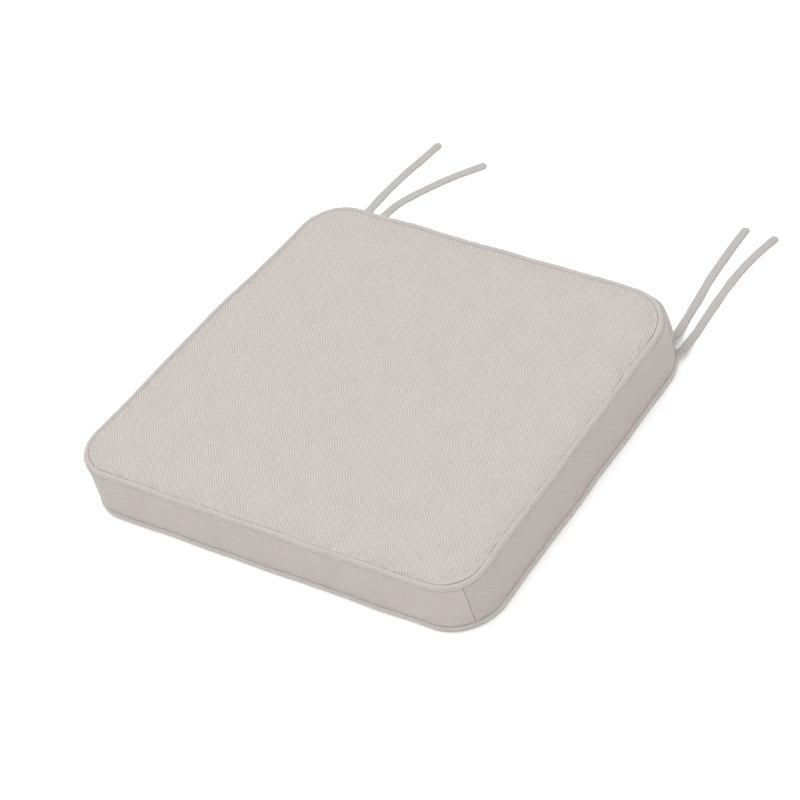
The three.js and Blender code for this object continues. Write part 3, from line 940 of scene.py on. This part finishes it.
def end_hollow(x, z):
    """How far the rear band is sunk at a place."""
    start, full, fading, gone = HOLLOW_REACH
    away = np.abs(x)
    share = np.clip(np.minimum((away - start) / (full - start), (gone - away) / (gone - fading)), 0, 1)
    return HOLLOW_DEPTH * smooth_step(share) * np.exp(-((z - ZIP_HEIGHT) / HOLLOW_HALF) ** 4)


# The hem beside the zip, as (away from its edge, inward) in millimetres, from the inside out.
HEM = ((2.6, 2.0), (1.2, 2.1), (0.35, 1.9), (0.05, 1.3), (0.0, 0.7), (0.12, 0.28), (0.5, 0.08), (1.2, 0.0))
# How many steps there are from the hem to the band's own rows, and how far from the zip those start.
REAR_ROWS = 9
REAR_START = 0.010


def add_rear_half(name, rings, side, node):
    """The half of the rear band above (side 1) or below (-1) the zip, with its edge hemmed."""
    first, last = CORNER_SEAMS["back_right"], CORNER_SEAMS["back_left"]
    columns = np.arange(first, last + 1)
    band = rings[BAND_START:TOP_START][:, columns]
    outwards = outline(0, 1, FINE)[1][columns]
    edge = ZIP_HEIGHT + side * zip_gap(band[len(band) // 2, :, 0])
    split = [row for row in range(len(band)) if side * (ROWS[BAND_START + row, 1] - ZIP_HEIGHT) > REAR_START]
    split = split if side > 0 else split[::-1]
    near = band[split[0]]

    def at_height(z):
        """The band's surface at a height, column by column."""
        place = np.empty((len(columns), 3))
        for number in range(len(columns)):
            line = band[LOW_TURN:-HIGH_TURN, number]
            for axis in range(2):
                place[number, axis] = np.interp(z[number], line[:, 2], line[:, axis])
        place[:, 2] = z
        place[:, :2] -= outwards * end_hollow(place[:, 0], z)[:, None]
        return place

    rows = []
    for away, deep in HEM:
        line = at_height(edge + side * away * MM)
        line[:, :2] -= outwards * deep * MM
        rows.append(line)
    for share in np.linspace(0, 1, REAR_ROWS)[1:-1]:
        start = edge + side * HEM[-1][0] * MM
        rows.append(at_height(start + (near[:, 2] - start) * share))
    rows += [band[row] for row in split]
    grid = np.array(rows)
    if side < 0:
        grid = grid[::-1]
    grid = turned_in(grid, outwards)
    piece = grid_piece(name, grid, band_flat(grid, 0.0), TWILLS["front"], "cover_twill", replaces=(node,))
    add_thickness(piece, CLOTH * 0.8)


def add_cover(rings, bottom, top):
    add_face("cover_top", rings[TOP_START:], top, "top_panel", True)
    add_face("cover_bottom", rings[:BAND_START], bottom, "bottom_panel", False)
    seams = CORNER_SEAMS
    size = rings.shape[1]
    # The side bands wear the darker twill and the front and rear bands the front one: painted shade.
    add_band("cover_right", rings, seams["front_right"], seams["back_right"], "right_band", "side")
    add_band("cover_left", rings, seams["back_left"], seams["front_left"], "left_band", "side")
    add_band("cover_front", rings, seams["front_left"], seams["front_right"] + size, "front_band", "front")
    add_rear_half("cover_rear_upper", rings, 1, "rear_band_upper")
    add_rear_half("cover_rear_lower", rings, -1, "rear_band_lower")


# ---- Piping ----

# How fine the piping's mesh is beside the cover's outline, and how thick its cloth is.
WELT_FINE = 3
WELT_WALL = 0.0007
# How far round the cord the cloth goes on each side, in degrees, and its points outside and inside.
WELT_TURN = 170
WELT_POINTS = (25, 13)
WELT_WAVES = ((0.022, 130, 330, 30), (0.05, 12, 60, 33))
# How far in the middle of each piping lies, and its radius, for the bottom and then the top.
WELT_MIDDLES = ((0.0027, 0.0026), (0.00305, 0.00275))
# How far the bottom piping's underside stands off the floor.
WELT_LIFT = 0.0012


def welt_route(which):
    """The middle of the piping at the bottom (0) or the top (1) seam."""
    inset, radius = WELT_MIDDLES[which]
    flat, outwards = outline(inset, which, WELT_FINE)
    sway, rise = seam_sway(FINE, which)
    count = len(flat)
    places = np.arange(count) / count
    known = np.arange(len(sway) + 1) / len(sway)
    sway = np.interp(places, known, np.append(sway, sway[0]))
    rise = np.interp(places, known, np.append(rise, rise[0]))
    flat = flat + outwards * sway[:, None]
    height = (SEAM_HEIGHT - radius if which else radius + WELT_LIFT) + rise
    return np.column_stack([flat, height])


def add_welt(name, which, node):
    """The cloth of a piping: a tube that is open along the side where it is sewn in."""
    route = welt_route(which)
    slit = math.radians(WELT_TURN)
    outside, inside = WELT_POINTS
    angles = np.concatenate([np.linspace(slit, -slit, outside), np.linspace(-slit, slit, inside)])
    radius = WELT_MIDDLES[which][1]
    radii = np.where(np.arange(outside + inside) < outside, radius, radius - WELT_WALL)
    radii = radii[None] + waves(len(route), WELT_WAVES, which)[:, None]
    section = radii[..., None] * circle(angles)
    section[..., 1] = np.maximum(section[..., 1], 0.05 * MM - radius)
    # The bottom piping wears the lighter twill, a painted highlight.
    cloth = TWILLS["welt" if which else "low_welt_painted_highlight"]
    tube_piece(name, route, section, UP, cloth, "piping_twill", node, closed=True)


# A filler cord's strands, how far along the cord each one goes round it, the points round the cord, and how
# far in the grooves between its strands are, as a share of its radius.
STRANDS = 3
LAY = 0.011
CORD_SIDES = 21
GROOVE = 0.78


def add_welt_cord(name, which, node):
    """The twisted cotton cord inside a piping."""
    route = welt_route(which)
    travelled = distance_along(route, closed=True)
    turns = round(travelled[-1] / LAY)
    twist = 2 * np.pi * turns * travelled[:-1] / travelled[-1]
    angles = -2 * np.pi * np.arange(CORD_SIDES) / CORD_SIDES
    lobes = np.abs(np.cos((angles[None] - twist[:, None]) * STRANDS / 2)) ** 0.8
    radii = (WELT_MIDDLES[which][1] - WELT_WALL) * (GROOVE + (1 - GROOVE) * lobes)
    section = radii[..., None] * circle(angles)
    tube_piece(name, route, section, UP, COTTON, "filler_cord", node, closed=True)


RINGS, BOTTOM, TOP = shaped_cover()
add_cover(RINGS, BOTTOM, TOP)
add_welt("welt_top", 1, "top_piping_cover")
add_welt("welt_bottom", 0, "bottom_piping_cover")
add_welt_cord("welt_cord_top", 1, "top_piping_cord")
add_welt_cord("welt_cord_bottom", 0, "bottom_piping_cord")


# ---- Stitches ----

# The thread and its stitches: their length, their spacing, and the points and rings of their mesh.
THREAD_RADIUS = 0.00027
STITCH_LENGTH = 0.0021
STITCH_SPACING = 0.0030
STITCH_SIDES = 6
STITCH_RINGS = 5
# How far a stitch's middle stands off its line and how far its ends go down from there, in thread radii.
STITCH_RISE = 0.6
STITCH_DIP = 2.4


def add_stitches(name, lines, lift=0.0):
    """Separate stitches along lines. Each line is its points, the directions away from the cloth, and whether
    it is closed. Both ends of a stitch go into the cloth, and lift moves it all off the line."""
    points, faces = [], []
    ring = circle(-2 * np.pi * np.arange(STITCH_SIDES) / STITCH_SIDES) * THREAD_RADIUS
    walls, _ = lattice(STITCH_RINGS, STITCH_SIDES, wrap_columns=True)
    walls = walls.tolist() + end_caps(STITCH_RINGS, STITCH_SIDES)
    share = np.linspace(-1, 1, STITCH_RINGS)
    first = 0
    for line, away, closed in lines:
        travelled = distance_along(line, closed)
        if closed:
            line = np.concatenate([line, line[:1]])
            away = np.concatenate([away, away[:1]])
        for middle in np.arange(STITCH_SPACING, travelled[-1] - STITCH_SPACING / 2, STITCH_SPACING):
            places = middle + share * STITCH_LENGTH / 2
            route = np.stack([np.interp(places, travelled, line[:, a]) for a in range(3)], -1)
            out = unit(np.array([np.interp(middle, travelled, away[:, a]) for a in range(3)]))
            route += out * (lift + (STITCH_RISE - STITCH_DIP * share[:, None] ** 4) * THREAD_RADIUS)
            points.append(swept(route, ring, out).reshape(-1, 3))
            faces += [[first + corner for corner in face] for face in walls]
            first += STITCH_RINGS * STITCH_SIDES
    points = np.concatenate(points)
    flat = np.stack([points[:, 0] + points[:, 1], points[:, 2]], -1)
    corners = np.array([corner for face in faces for corner in face])
    add_piece(name, points, faces, flat[corners], THREAD_FINISH, "cover_twill")


# How much the stitches beside the top piping lean outward.
CREASE_LEAN = 0.9


def crease_line(rings):
    """The top's stitching line beside its piping, with the directions that lean up and outward from it."""
    outwards = outline(0, 1, FINE)[1]
    away = np.column_stack([outwards * CREASE_LEAN, np.ones(len(outwards))])
    return rings[TOP_START + 3], unit(away), True


# How far the stitching beside the zip lies from its middle line, the places of a bar tack's lines in
# millimetres, and how many points each has.
ZIP_STITCH = 0.0066
TACK_LINES = (0, 1.1, 2.2)
TACK_POINTS = 12


def zip_lines(rings):
    """The stitching line on each side of the zip, and the bar tacks across its ends."""
    columns = np.arange(CORNER_SEAMS["back_right"], CORNER_SEAMS["back_left"] + 1)
    band = rings[BAND_START + LOW_TURN:TOP_START - HIGH_TURN][:, columns]
    middle = np.argmin(np.abs(band[:, 0, 2] - ZIP_HEIGHT))
    near = band[middle]
    along = (near[:, 0] > ZIP_LEFT - ZIP_END) & (near[:, 0] < ZIP_RIGHT + ZIP_END)
    behind = np.array([0, 1.0, 0])
    lines = []
    for side in (1, -1):
        line = near[along].copy()
        line[:, 2] = ZIP_HEIGHT + side * ZIP_STITCH
        line[:, 1] -= end_hollow(line[:, 0], line[:, 2])
        lines.append((line, np.repeat(behind[None], len(line), 0), False))
    for x in (ZIP_LEFT - ZIP_END, ZIP_RIGHT + ZIP_END):
        y = np.interp(x, near[::-1, 0], near[::-1, 1])
        for shift in TACK_LINES:
            heights = np.linspace(-ZIP_STITCH, ZIP_STITCH, TACK_POINTS)
            place = x + math.copysign(shift * MM, x)
            sunk = end_hollow(place, ZIP_HEIGHT + heights)
            line = np.stack([np.full(TACK_POINTS, place), y - sunk, ZIP_HEIGHT + heights], -1)
            lines.append((line, np.repeat(behind[None], TACK_POINTS, 0), False))
    return lines


add_stitches("stitches_top", [crease_line(RINGS)])
add_stitches("stitches_zip", zip_lines(RINGS), lift=0.15 * MM)


# ---- Filling ----

# How far a filling's edges are rounded, and its faces' rows inward from its sides.
FILLING_ROUND = 0.0065
FILLING_ROWS = (0.016, 0.034)
# Half the width and half the height of the lining's opening, and where the wadding stops at the back.
LINER_OPENING = (0.153, 0.0136)
WADDING_END = DEPTH / 2 - 0.050


def filling_form(node):
    """A rounded, crowned closed form in the space of one layer of the filling."""
    low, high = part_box(node)
    side = DEPTH / 2 + low.y
    roof = high.z - CROWN
    turn = np.radians([90, 68, 45, 22, 0])
    inward = side + FILLING_ROUND * (1 - np.cos(turn))
    rise = FILLING_ROUND * (1 - np.sin(turn))
    near, far = FILLING_ROWS
    rows = [(side + far, low.z), (side + near, low.z), *zip(inward, low.z + rise)]
    rows += [(side, low.z + (roof - low.z) * part) for part in (0.35, 0.5, 0.65)]
    rows += [*zip(inward[::-1], roof - rise[::-1])]
    rows += [(side + near, roof + 0.55 * CROWN), (side + far, roof + 0.8 * CROWN)]
    rings = plain_rings(np.array(rows), 1)
    rings[2:-2, :, 2] += 0.12 * MM * random_wave(RING, 8, 40, SEED + 60)
    top = cap_grid(rings[-1])
    top[..., 2] += 0.2 * CROWN * dome(top.shape)
    return closed_form(rings, cap_grid(rings[0]), top)


def add_filling(name, node, material, slot, wall=0.0, left_out=None):
    """A layer of the filling: solid, or a wall with the faces left out where left_out says so."""
    points, faces = filling_form(node)
    if left_out:
        faces = faces[~left_out(points[faces].mean(1))]
    piece = add_piece(name, points, faces, points[faces.ravel(), :2], material, slot, replaces=(node,))
    if wall:
        add_thickness(piece, wall)


def at_back(places):
    """The faces of the wadding that are left out across the back."""
    return places[:, 1] > WADDING_END


def at_zip(places):
    """The faces of the lining where it is open for the zip and the foam."""
    reach, height = LINER_OPENING
    return at_back(places) & (np.abs(places[:, 0]) < reach) & (np.abs(places[:, 2] - ZIP_HEIGHT) < height)


add_filling("foam_block", "foam_core", FOAM, "foam")
add_filling("wadding_layer", "wadding_wrap", WADDING, "wadding", 0.0028, at_back)
add_filling("lining_bag", "inner_liner", LINING, "lining", 0.0005, at_zip)


# ---- Zip ----

TAPE_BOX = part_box("zip_tape_upper")
TAPE_BACK, TAPE_FRONT = TAPE_BOX[0].y, TAPE_BOX[1].y
TAPE_FAR = TAPE_BOX[1].z - ZIP_HEIGHT
# How far from the zip's middle line a tape's edge is.
TAPE_NEAR = 0.0004
COIL_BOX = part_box("zip_coil_upper")
COIL_MIDDLE = (COIL_BOX[0].y + COIL_BOX[1].y) / 2
COIL_DEEP = (COIL_BOX[1].y - COIL_BOX[0].y) / 2
# The coil's wire radius, its pitch, the height of its middle from the zip's middle line and half its width.
WIRE = 0.00028
COIL_PITCH = 0.0012
COIL_RISE = 0.0013
COIL_WIDE = 0.0009
COIL_TURN_STEPS = 14


def rounded_box(low, high, radius):
    """A block's section: corner places, clockwise, with rounded corners."""
    (x0, y0), (x1, y1) = low, high
    turn = np.radians([0, 30, 60, 90])
    corners = ((x1, y1, 0), (x1, y0, -1), (x0, y0, -2), (x0, y1, -3))
    places = []
    for x, y, quarter in corners:
        in_x = math.copysign(radius, x - (x0 + x1) / 2)
        in_y = math.copysign(radius, y - (y0 + y1) / 2)
        angles = math.pi / 2 * (quarter + 1) - turn
        places.append(np.array([x - in_x, y - in_y]) + radius * circle(angles))
    return np.concatenate(places)


def add_tape(name, side, node):
    """Half of the zip's tape, with a bead along the edge that holds the coil."""
    near, far = sorted((side * TAPE_NEAR, side * TAPE_FAR))
    half = (TAPE_FRONT - TAPE_BACK) / 2
    section = rounded_box((-half, near), (half, far), half * 0.7)
    route = np.linspace((TAPE_BOX[0].x, 0, 0), (TAPE_BOX[1].x, 0, 0), 90)
    route[:, 1] = (TAPE_BACK + TAPE_FRONT) / 2
    route[:, 2] = ZIP_HEIGHT
    tube_piece(name, route, section, UP, TAPE, "zip_tape", node, along=route[:, 0])


def add_coil(name, side, node):
    """Half of the zip's coil: one nylon wire wound into a flattened spiral."""
    low, high = COIL_BOX[0].x, COIL_BOX[1].x
    turns = (high - low - 2 * WIRE) / COIL_PITCH
    angles = np.arange(int(turns * COIL_TURN_STEPS)) * 2 * np.pi / COIL_TURN_STEPS
    x = low + WIRE + COIL_PITCH * angles / (2 * np.pi)
    deep = COIL_DEEP - WIRE
    angles = angles + (0 if side > 0 else np.pi)
    height = ZIP_HEIGHT + side * (COIL_RISE + COIL_WIDE * np.cos(angles))
    route = np.stack([x, COIL_MIDDLE + deep * np.sin(angles), height], -1)
    away = np.stack([0 * x, np.sin(angles) / deep, side * np.cos(angles) / COIL_WIDE], -1)
    section = circle(-2 * np.pi * np.arange(7) / 7) * WIRE
    tube_piece(name, route, section, unit(away), NYLON, "zip_coil", node)


def pebble(outline_points, levels):
    """Points and faces of a flat metal piece: an (x, z) outline, anticlockwise from behind, carried through
    (inset, y) levels."""
    ahead = unit(np.roll(outline_points, -1, 0) - np.roll(outline_points, 1, 0))
    outward = np.stack([ahead[:, 1], -ahead[:, 0]], -1)
    rings = []
    for inset, y in levels:
        flat = outline_points - outward * inset
        rings.append(np.stack([flat[:, 0], np.full(len(flat), y), flat[:, 1]], -1))
    count = len(outline_points)
    faces, _ = lattice(len(levels), count, wrap_columns=True)
    return np.concatenate(rings), faces.tolist() + end_caps(len(levels), count)


def rounded_levels(back, front, radius):
    """Levels that round a plate's edges from its back to its front."""
    return [(radius, back), (radius * 0.3, back + radius * 0.3), (0, back + radius),
            (0, front - radius), (radius * 0.3, front - radius * 0.3), (radius, front)]


def add_metal(name, parts, body, node):
    """One metal piece from the points and faces of its parts."""
    points, faces = [], []
    for part_points, part_faces in parts:
        first = sum(len(p) for p in points)
        points.append(part_points)
        faces += [[first + corner for corner in face] for face in part_faces]
    points = np.concatenate(points)
    corners = np.array([corner for face in faces for corner in face])
    flat = points[corners][:, [0, 2]]
    add_piece(name, points, faces, flat, METAL, "zip_metal", body=body, replaces=(node,))


def rectangle(low, high, radius):
    """An (x, z) rectangle with rounded corners, for a pebble."""
    return rounded_box(low, high, radius)[::-1]


def add_stop(name, node):
    """A stop pressed round the tape: a rounded block with a waist where the tool gripped it."""
    low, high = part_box(node)
    shape = rectangle((low.x, low.z), (high.x, high.z), 0.35 * MM)
    middle = (low.x + high.x) / 2
    waist = np.exp(-((shape[:, 0] - middle) / (0.5 * MM)) ** 2)
    shape[:, 1] -= 0.12 * MM * waist * np.sign(shape[:, 1] - (low.z + high.z) / 2)
    add_metal(name, [pebble(shape, rounded_levels(low.y, high.y, 0.3 * MM))], "pad", node)


def slider_plate(low, high):
    """A slider's outline: narrow at its tail and wide at its shoulders, which face the closed end."""
    length = high.x - low.x
    wide = (high.z - low.z) / 2
    share = np.linspace(0, 1, 24)
    shoulder = np.sqrt(np.clip(1 - np.clip((share - 0.84) / 0.22, 0, 1) ** 2, 0, 1))
    tail = np.clip(0.72 + share * 3.5, 0, 1)
    half = wide * (0.80 + 0.20 * share ** 1.5) * (shoulder * tail)
    x = low.x + length * share
    return np.concatenate([np.stack([x, ZIP_HEIGHT - half], -1), np.stack([x, ZIP_HEIGHT + half], -1)[::-1]])


# The slider's sizes: its plates' thickness and their rounding, its flanges' width, half the thickness and
# half the length of its stem, its bridge's thickness, half its width and half its length, how far its
# bridge's ends are sunk, how far a flange stops short of its ends, and the front plate's place behind the
# middle of the pull.
PLATE = 0.0010
PLATE_ROUND = 0.0003
FLANGE = 0.0008
STEM_HALF = 0.00025
STEM_REACH = 0.0018
BRIDGE = 0.0007
BRIDGE_HALF = 0.0007
BRIDGE_REACH = 0.0030
BRIDGE_ROOT = 0.0003
FLANGE_SHORT = 0.0016
PULL_PLAY = 0.00085


def add_slider():
    low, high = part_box("zip_slider")
    middle = (low.x + high.x) / 2
    pull_low, pull_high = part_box("zip_pull")
    plate_front = (pull_low.y + pull_high.y) / 2 - PULL_PLAY
    shape = slider_plate(low, high)
    wide = (high.z - low.z) / 2
    parts = [pebble(shape, rounded_levels(plate_front - PLATE, plate_front, PLATE_ROUND)),
             pebble(shape, rounded_levels(low.y, low.y + PLATE, PLATE_ROUND))]
    for side in (1, -1):
        heights = sorted((ZIP_HEIGHT + side * (wide - FLANGE), ZIP_HEIGHT + side * wide * 0.985))
        ends = low.x + FLANGE_SHORT, high.x - FLANGE_SHORT
        strip = rectangle(*zip(ends, heights), PLATE_ROUND)
        tail = 0.2 * wide * (1 - np.clip((strip[:, 0] - low.x) / (high.x - low.x), 0, 1)) ** 1.5
        strip[:, 1] -= side * tail
        parts.append(pebble(strip, [(0, COIL_BOX[0].y), (0, plate_front - PLATE / 2)]))
    reach, half = STEM_REACH, STEM_HALF
    stem = rectangle((middle - reach, ZIP_HEIGHT - half), (middle + reach, ZIP_HEIGHT + half), 0.2 * MM)
    parts.append(pebble(stem, [(0, low.y + PLATE / 2), (0, plate_front - PLATE / 2)]))
    # The bridge is an arch over the pull's bar, sunk into the front plate at both ends.
    turn = np.linspace(np.pi, 0, 25)
    reach, rise = BRIDGE_REACH - BRIDGE / 2, high.y - BRIDGE / 2 - plate_front
    arch = np.stack([middle + reach * np.sign(np.cos(turn)) * np.abs(np.cos(turn)) ** 0.45,
                     plate_front + rise * np.sin(turn) ** 0.55, np.full(25, ZIP_HEIGHT)], -1)
    arch = np.concatenate([arch[:1] - (0, BRIDGE_ROOT, 0), arch, arch[-1:] - (0, BRIDGE_ROOT, 0)])
    section = rounded_box((-BRIDGE_HALF, -BRIDGE / 2), (BRIDGE_HALF, BRIDGE / 2), 0.25 * MM)
    ahead = unit(np.gradient(arch, axis=0))
    grid = swept(arch, section, np.cross(ahead, UP) * -1)
    faces, _ = lattice(len(arch), len(section), wrap_columns=True)
    parts.append((grid.reshape(-1, 3), faces.tolist() + end_caps(len(arch), len(section))))
    add_metal("slider_body", parts, "slider", "zip_slider")


# The pull's sizes: how thick its bar and rim are, its window's length, how far its edges are rounded, and how
# many points there are round it. The powers say how square its outside and its window are.
PULL_BAR = 0.0009
PULL_WINDOW = 0.0090
PULL_EDGE = 0.0004
PULL_POINTS = 160
PULL_POWERS = (9, 7)


def add_pull():
    """A tab with a window, whose round end bar is the hinge under the slider's bridge."""
    low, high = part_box("zip_pull")
    window_low = np.array([high.x - PULL_BAR - PULL_WINDOW, low.z + PULL_BAR])
    window_high = np.array([high.x - PULL_BAR, high.z - PULL_BAR])
    centre = (window_low + window_high) / 2
    directions = circle(2 * np.pi * np.arange(PULL_POINTS) / PULL_POINTS)

    def reach(corner_low, corner_high, power):
        """Places on a rounded rectangle in each direction from the window's middle."""
        size = np.where(directions > 0, corner_high - centre, centre - corner_low)
        far = (np.abs(directions / size) ** power).sum(1) ** (-1 / power)
        return centre + directions * far[:, None]

    outer = reach(np.array([low.x, low.z]), np.array([high.x, high.z]), PULL_POWERS[0])
    inner = reach(window_low, window_high, PULL_POWERS[1])
    wide = np.linalg.norm(outer - inner, axis=1)[:, None]
    bend = np.radians([90, 60, 30, 0])
    rounding = PULL_EDGE * (1 - np.cos(bend))
    from_edge = np.repeat(rounding[None], PULL_POINTS, 0)
    thick = (high.y - low.y) / 2 - PULL_EDGE + PULL_EDGE * np.sin(bend)
    across = np.concatenate([from_edge, wide - from_edge[:, ::-1], wide - from_edge, from_edge[:, ::-1]], 1)
    through = np.concatenate([-thick, -thick[::-1], thick, thick[::-1]])
    places = outer[:, None] + (inner - outer)[:, None] * (across / wide)[..., None]
    y = (low.y + high.y) / 2 + np.broadcast_to(through, across.shape)
    grid = np.stack([places[..., 0], y, places[..., 1]], -1)
    faces, _ = lattice(PULL_POINTS, grid.shape[1], wrap_rows=True, wrap_columns=True)
    add_metal("pull_tab", [(grid.reshape(-1, 3), faces.tolist())], "pull", "zip_pull")


for add_half, part_name in ((add_tape, "tape"), (add_coil, "coil")):
    add_half(part_name + "_upper", 1, "zip_" + part_name + "_upper")
    add_half(part_name + "_lower", -1, "zip_" + part_name + "_lower")
add_stop("stop_upper", "zip_top_stop_upper")
add_stop("stop_lower", "zip_top_stop_lower")
add_stop("stop_bottom", "zip_bottom_stop")
add_slider()
add_pull()


# ---- Stage ----

# The floor's brightness, its own light, half its width, and how far it lies under the pad.
FLOOR_WHITE = 1.16
FLOOR_GLOW = 0.04
FLOOR_HALF = 12.0
FLOOR_DROP = 0.0002
# The sky's strength straight above and at the horizon.
SKY_ABOVE = 1.34
SKY_LEVEL = 0.06
# The softbox over the pad: its place, its size, and its power in watts.
KEY_PLACE = (-0.25, -0.25, 2.6)
KEY_SIZE = 1.8
KEY_POWER = 17


def add_floor():
    material, _, shader = new_material("floor_white", 0.9, Specular_IOR_Level=0.0)
    shader.inputs["Base Color"].default_value = (FLOOR_WHITE, FLOOR_WHITE, FLOOR_WHITE, 1)
    shader.inputs["Emission Color"].default_value = (1, 1, 1, 1)
    shader.inputs["Emission Strength"].default_value = FLOOR_GLOW
    mesh = bpy.data.meshes.new("floor")
    corners = [(x * FLOOR_HALF, y * FLOOR_HALF, -FLOOR_DROP) for x, y in ((-1, -1), (1, -1), (1, 1), (-1, 1))]
    mesh.from_pydata(corners, [], [(0, 1, 2, 3)])
    mesh.materials.append(material)
    add_object("floor", mesh)


def add_softbox(name, place, size, power):
    """A square area light that faces the pad."""
    data = bpy.data.lights.new(name, "AREA")
    data.shape = "SQUARE"
    data.size = size
    data.energy = power
    lamp = add_object(name, data)
    lamp.location = place
    lamp.rotation_mode = "QUATERNION"
    lamp.rotation_quaternion = (-Vector(place)).to_track_quat("-Z", "Y")


def add_lights():
    world = bpy.data.worlds.new("studio")
    world.use_nodes = True
    tree = world.node_tree
    background = tree.nodes["Background"]
    # The light is stronger from above than from the horizon.
    direction = add_node(tree, "TexCoord").outputs["Generated"]
    height = add_node(tree, "SeparateXYZ", {0: direction}).outputs["Z"]
    strength = math_node(tree, "MULTIPLY_ADD", math_node(tree, "MAXIMUM", height, 0.0), SKY_ABOVE, SKY_LEVEL)
    tree.links.new(strength, background.inputs["Strength"])
    background.inputs["Color"].default_value = (1, 1, 1, 1)
    bpy.context.scene.world = world
    add_softbox("key", KEY_PLACE, KEY_SIZE, KEY_POWER)
    bpy.context.scene.view_settings.view_transform = "Standard"


add_floor()
add_lights()
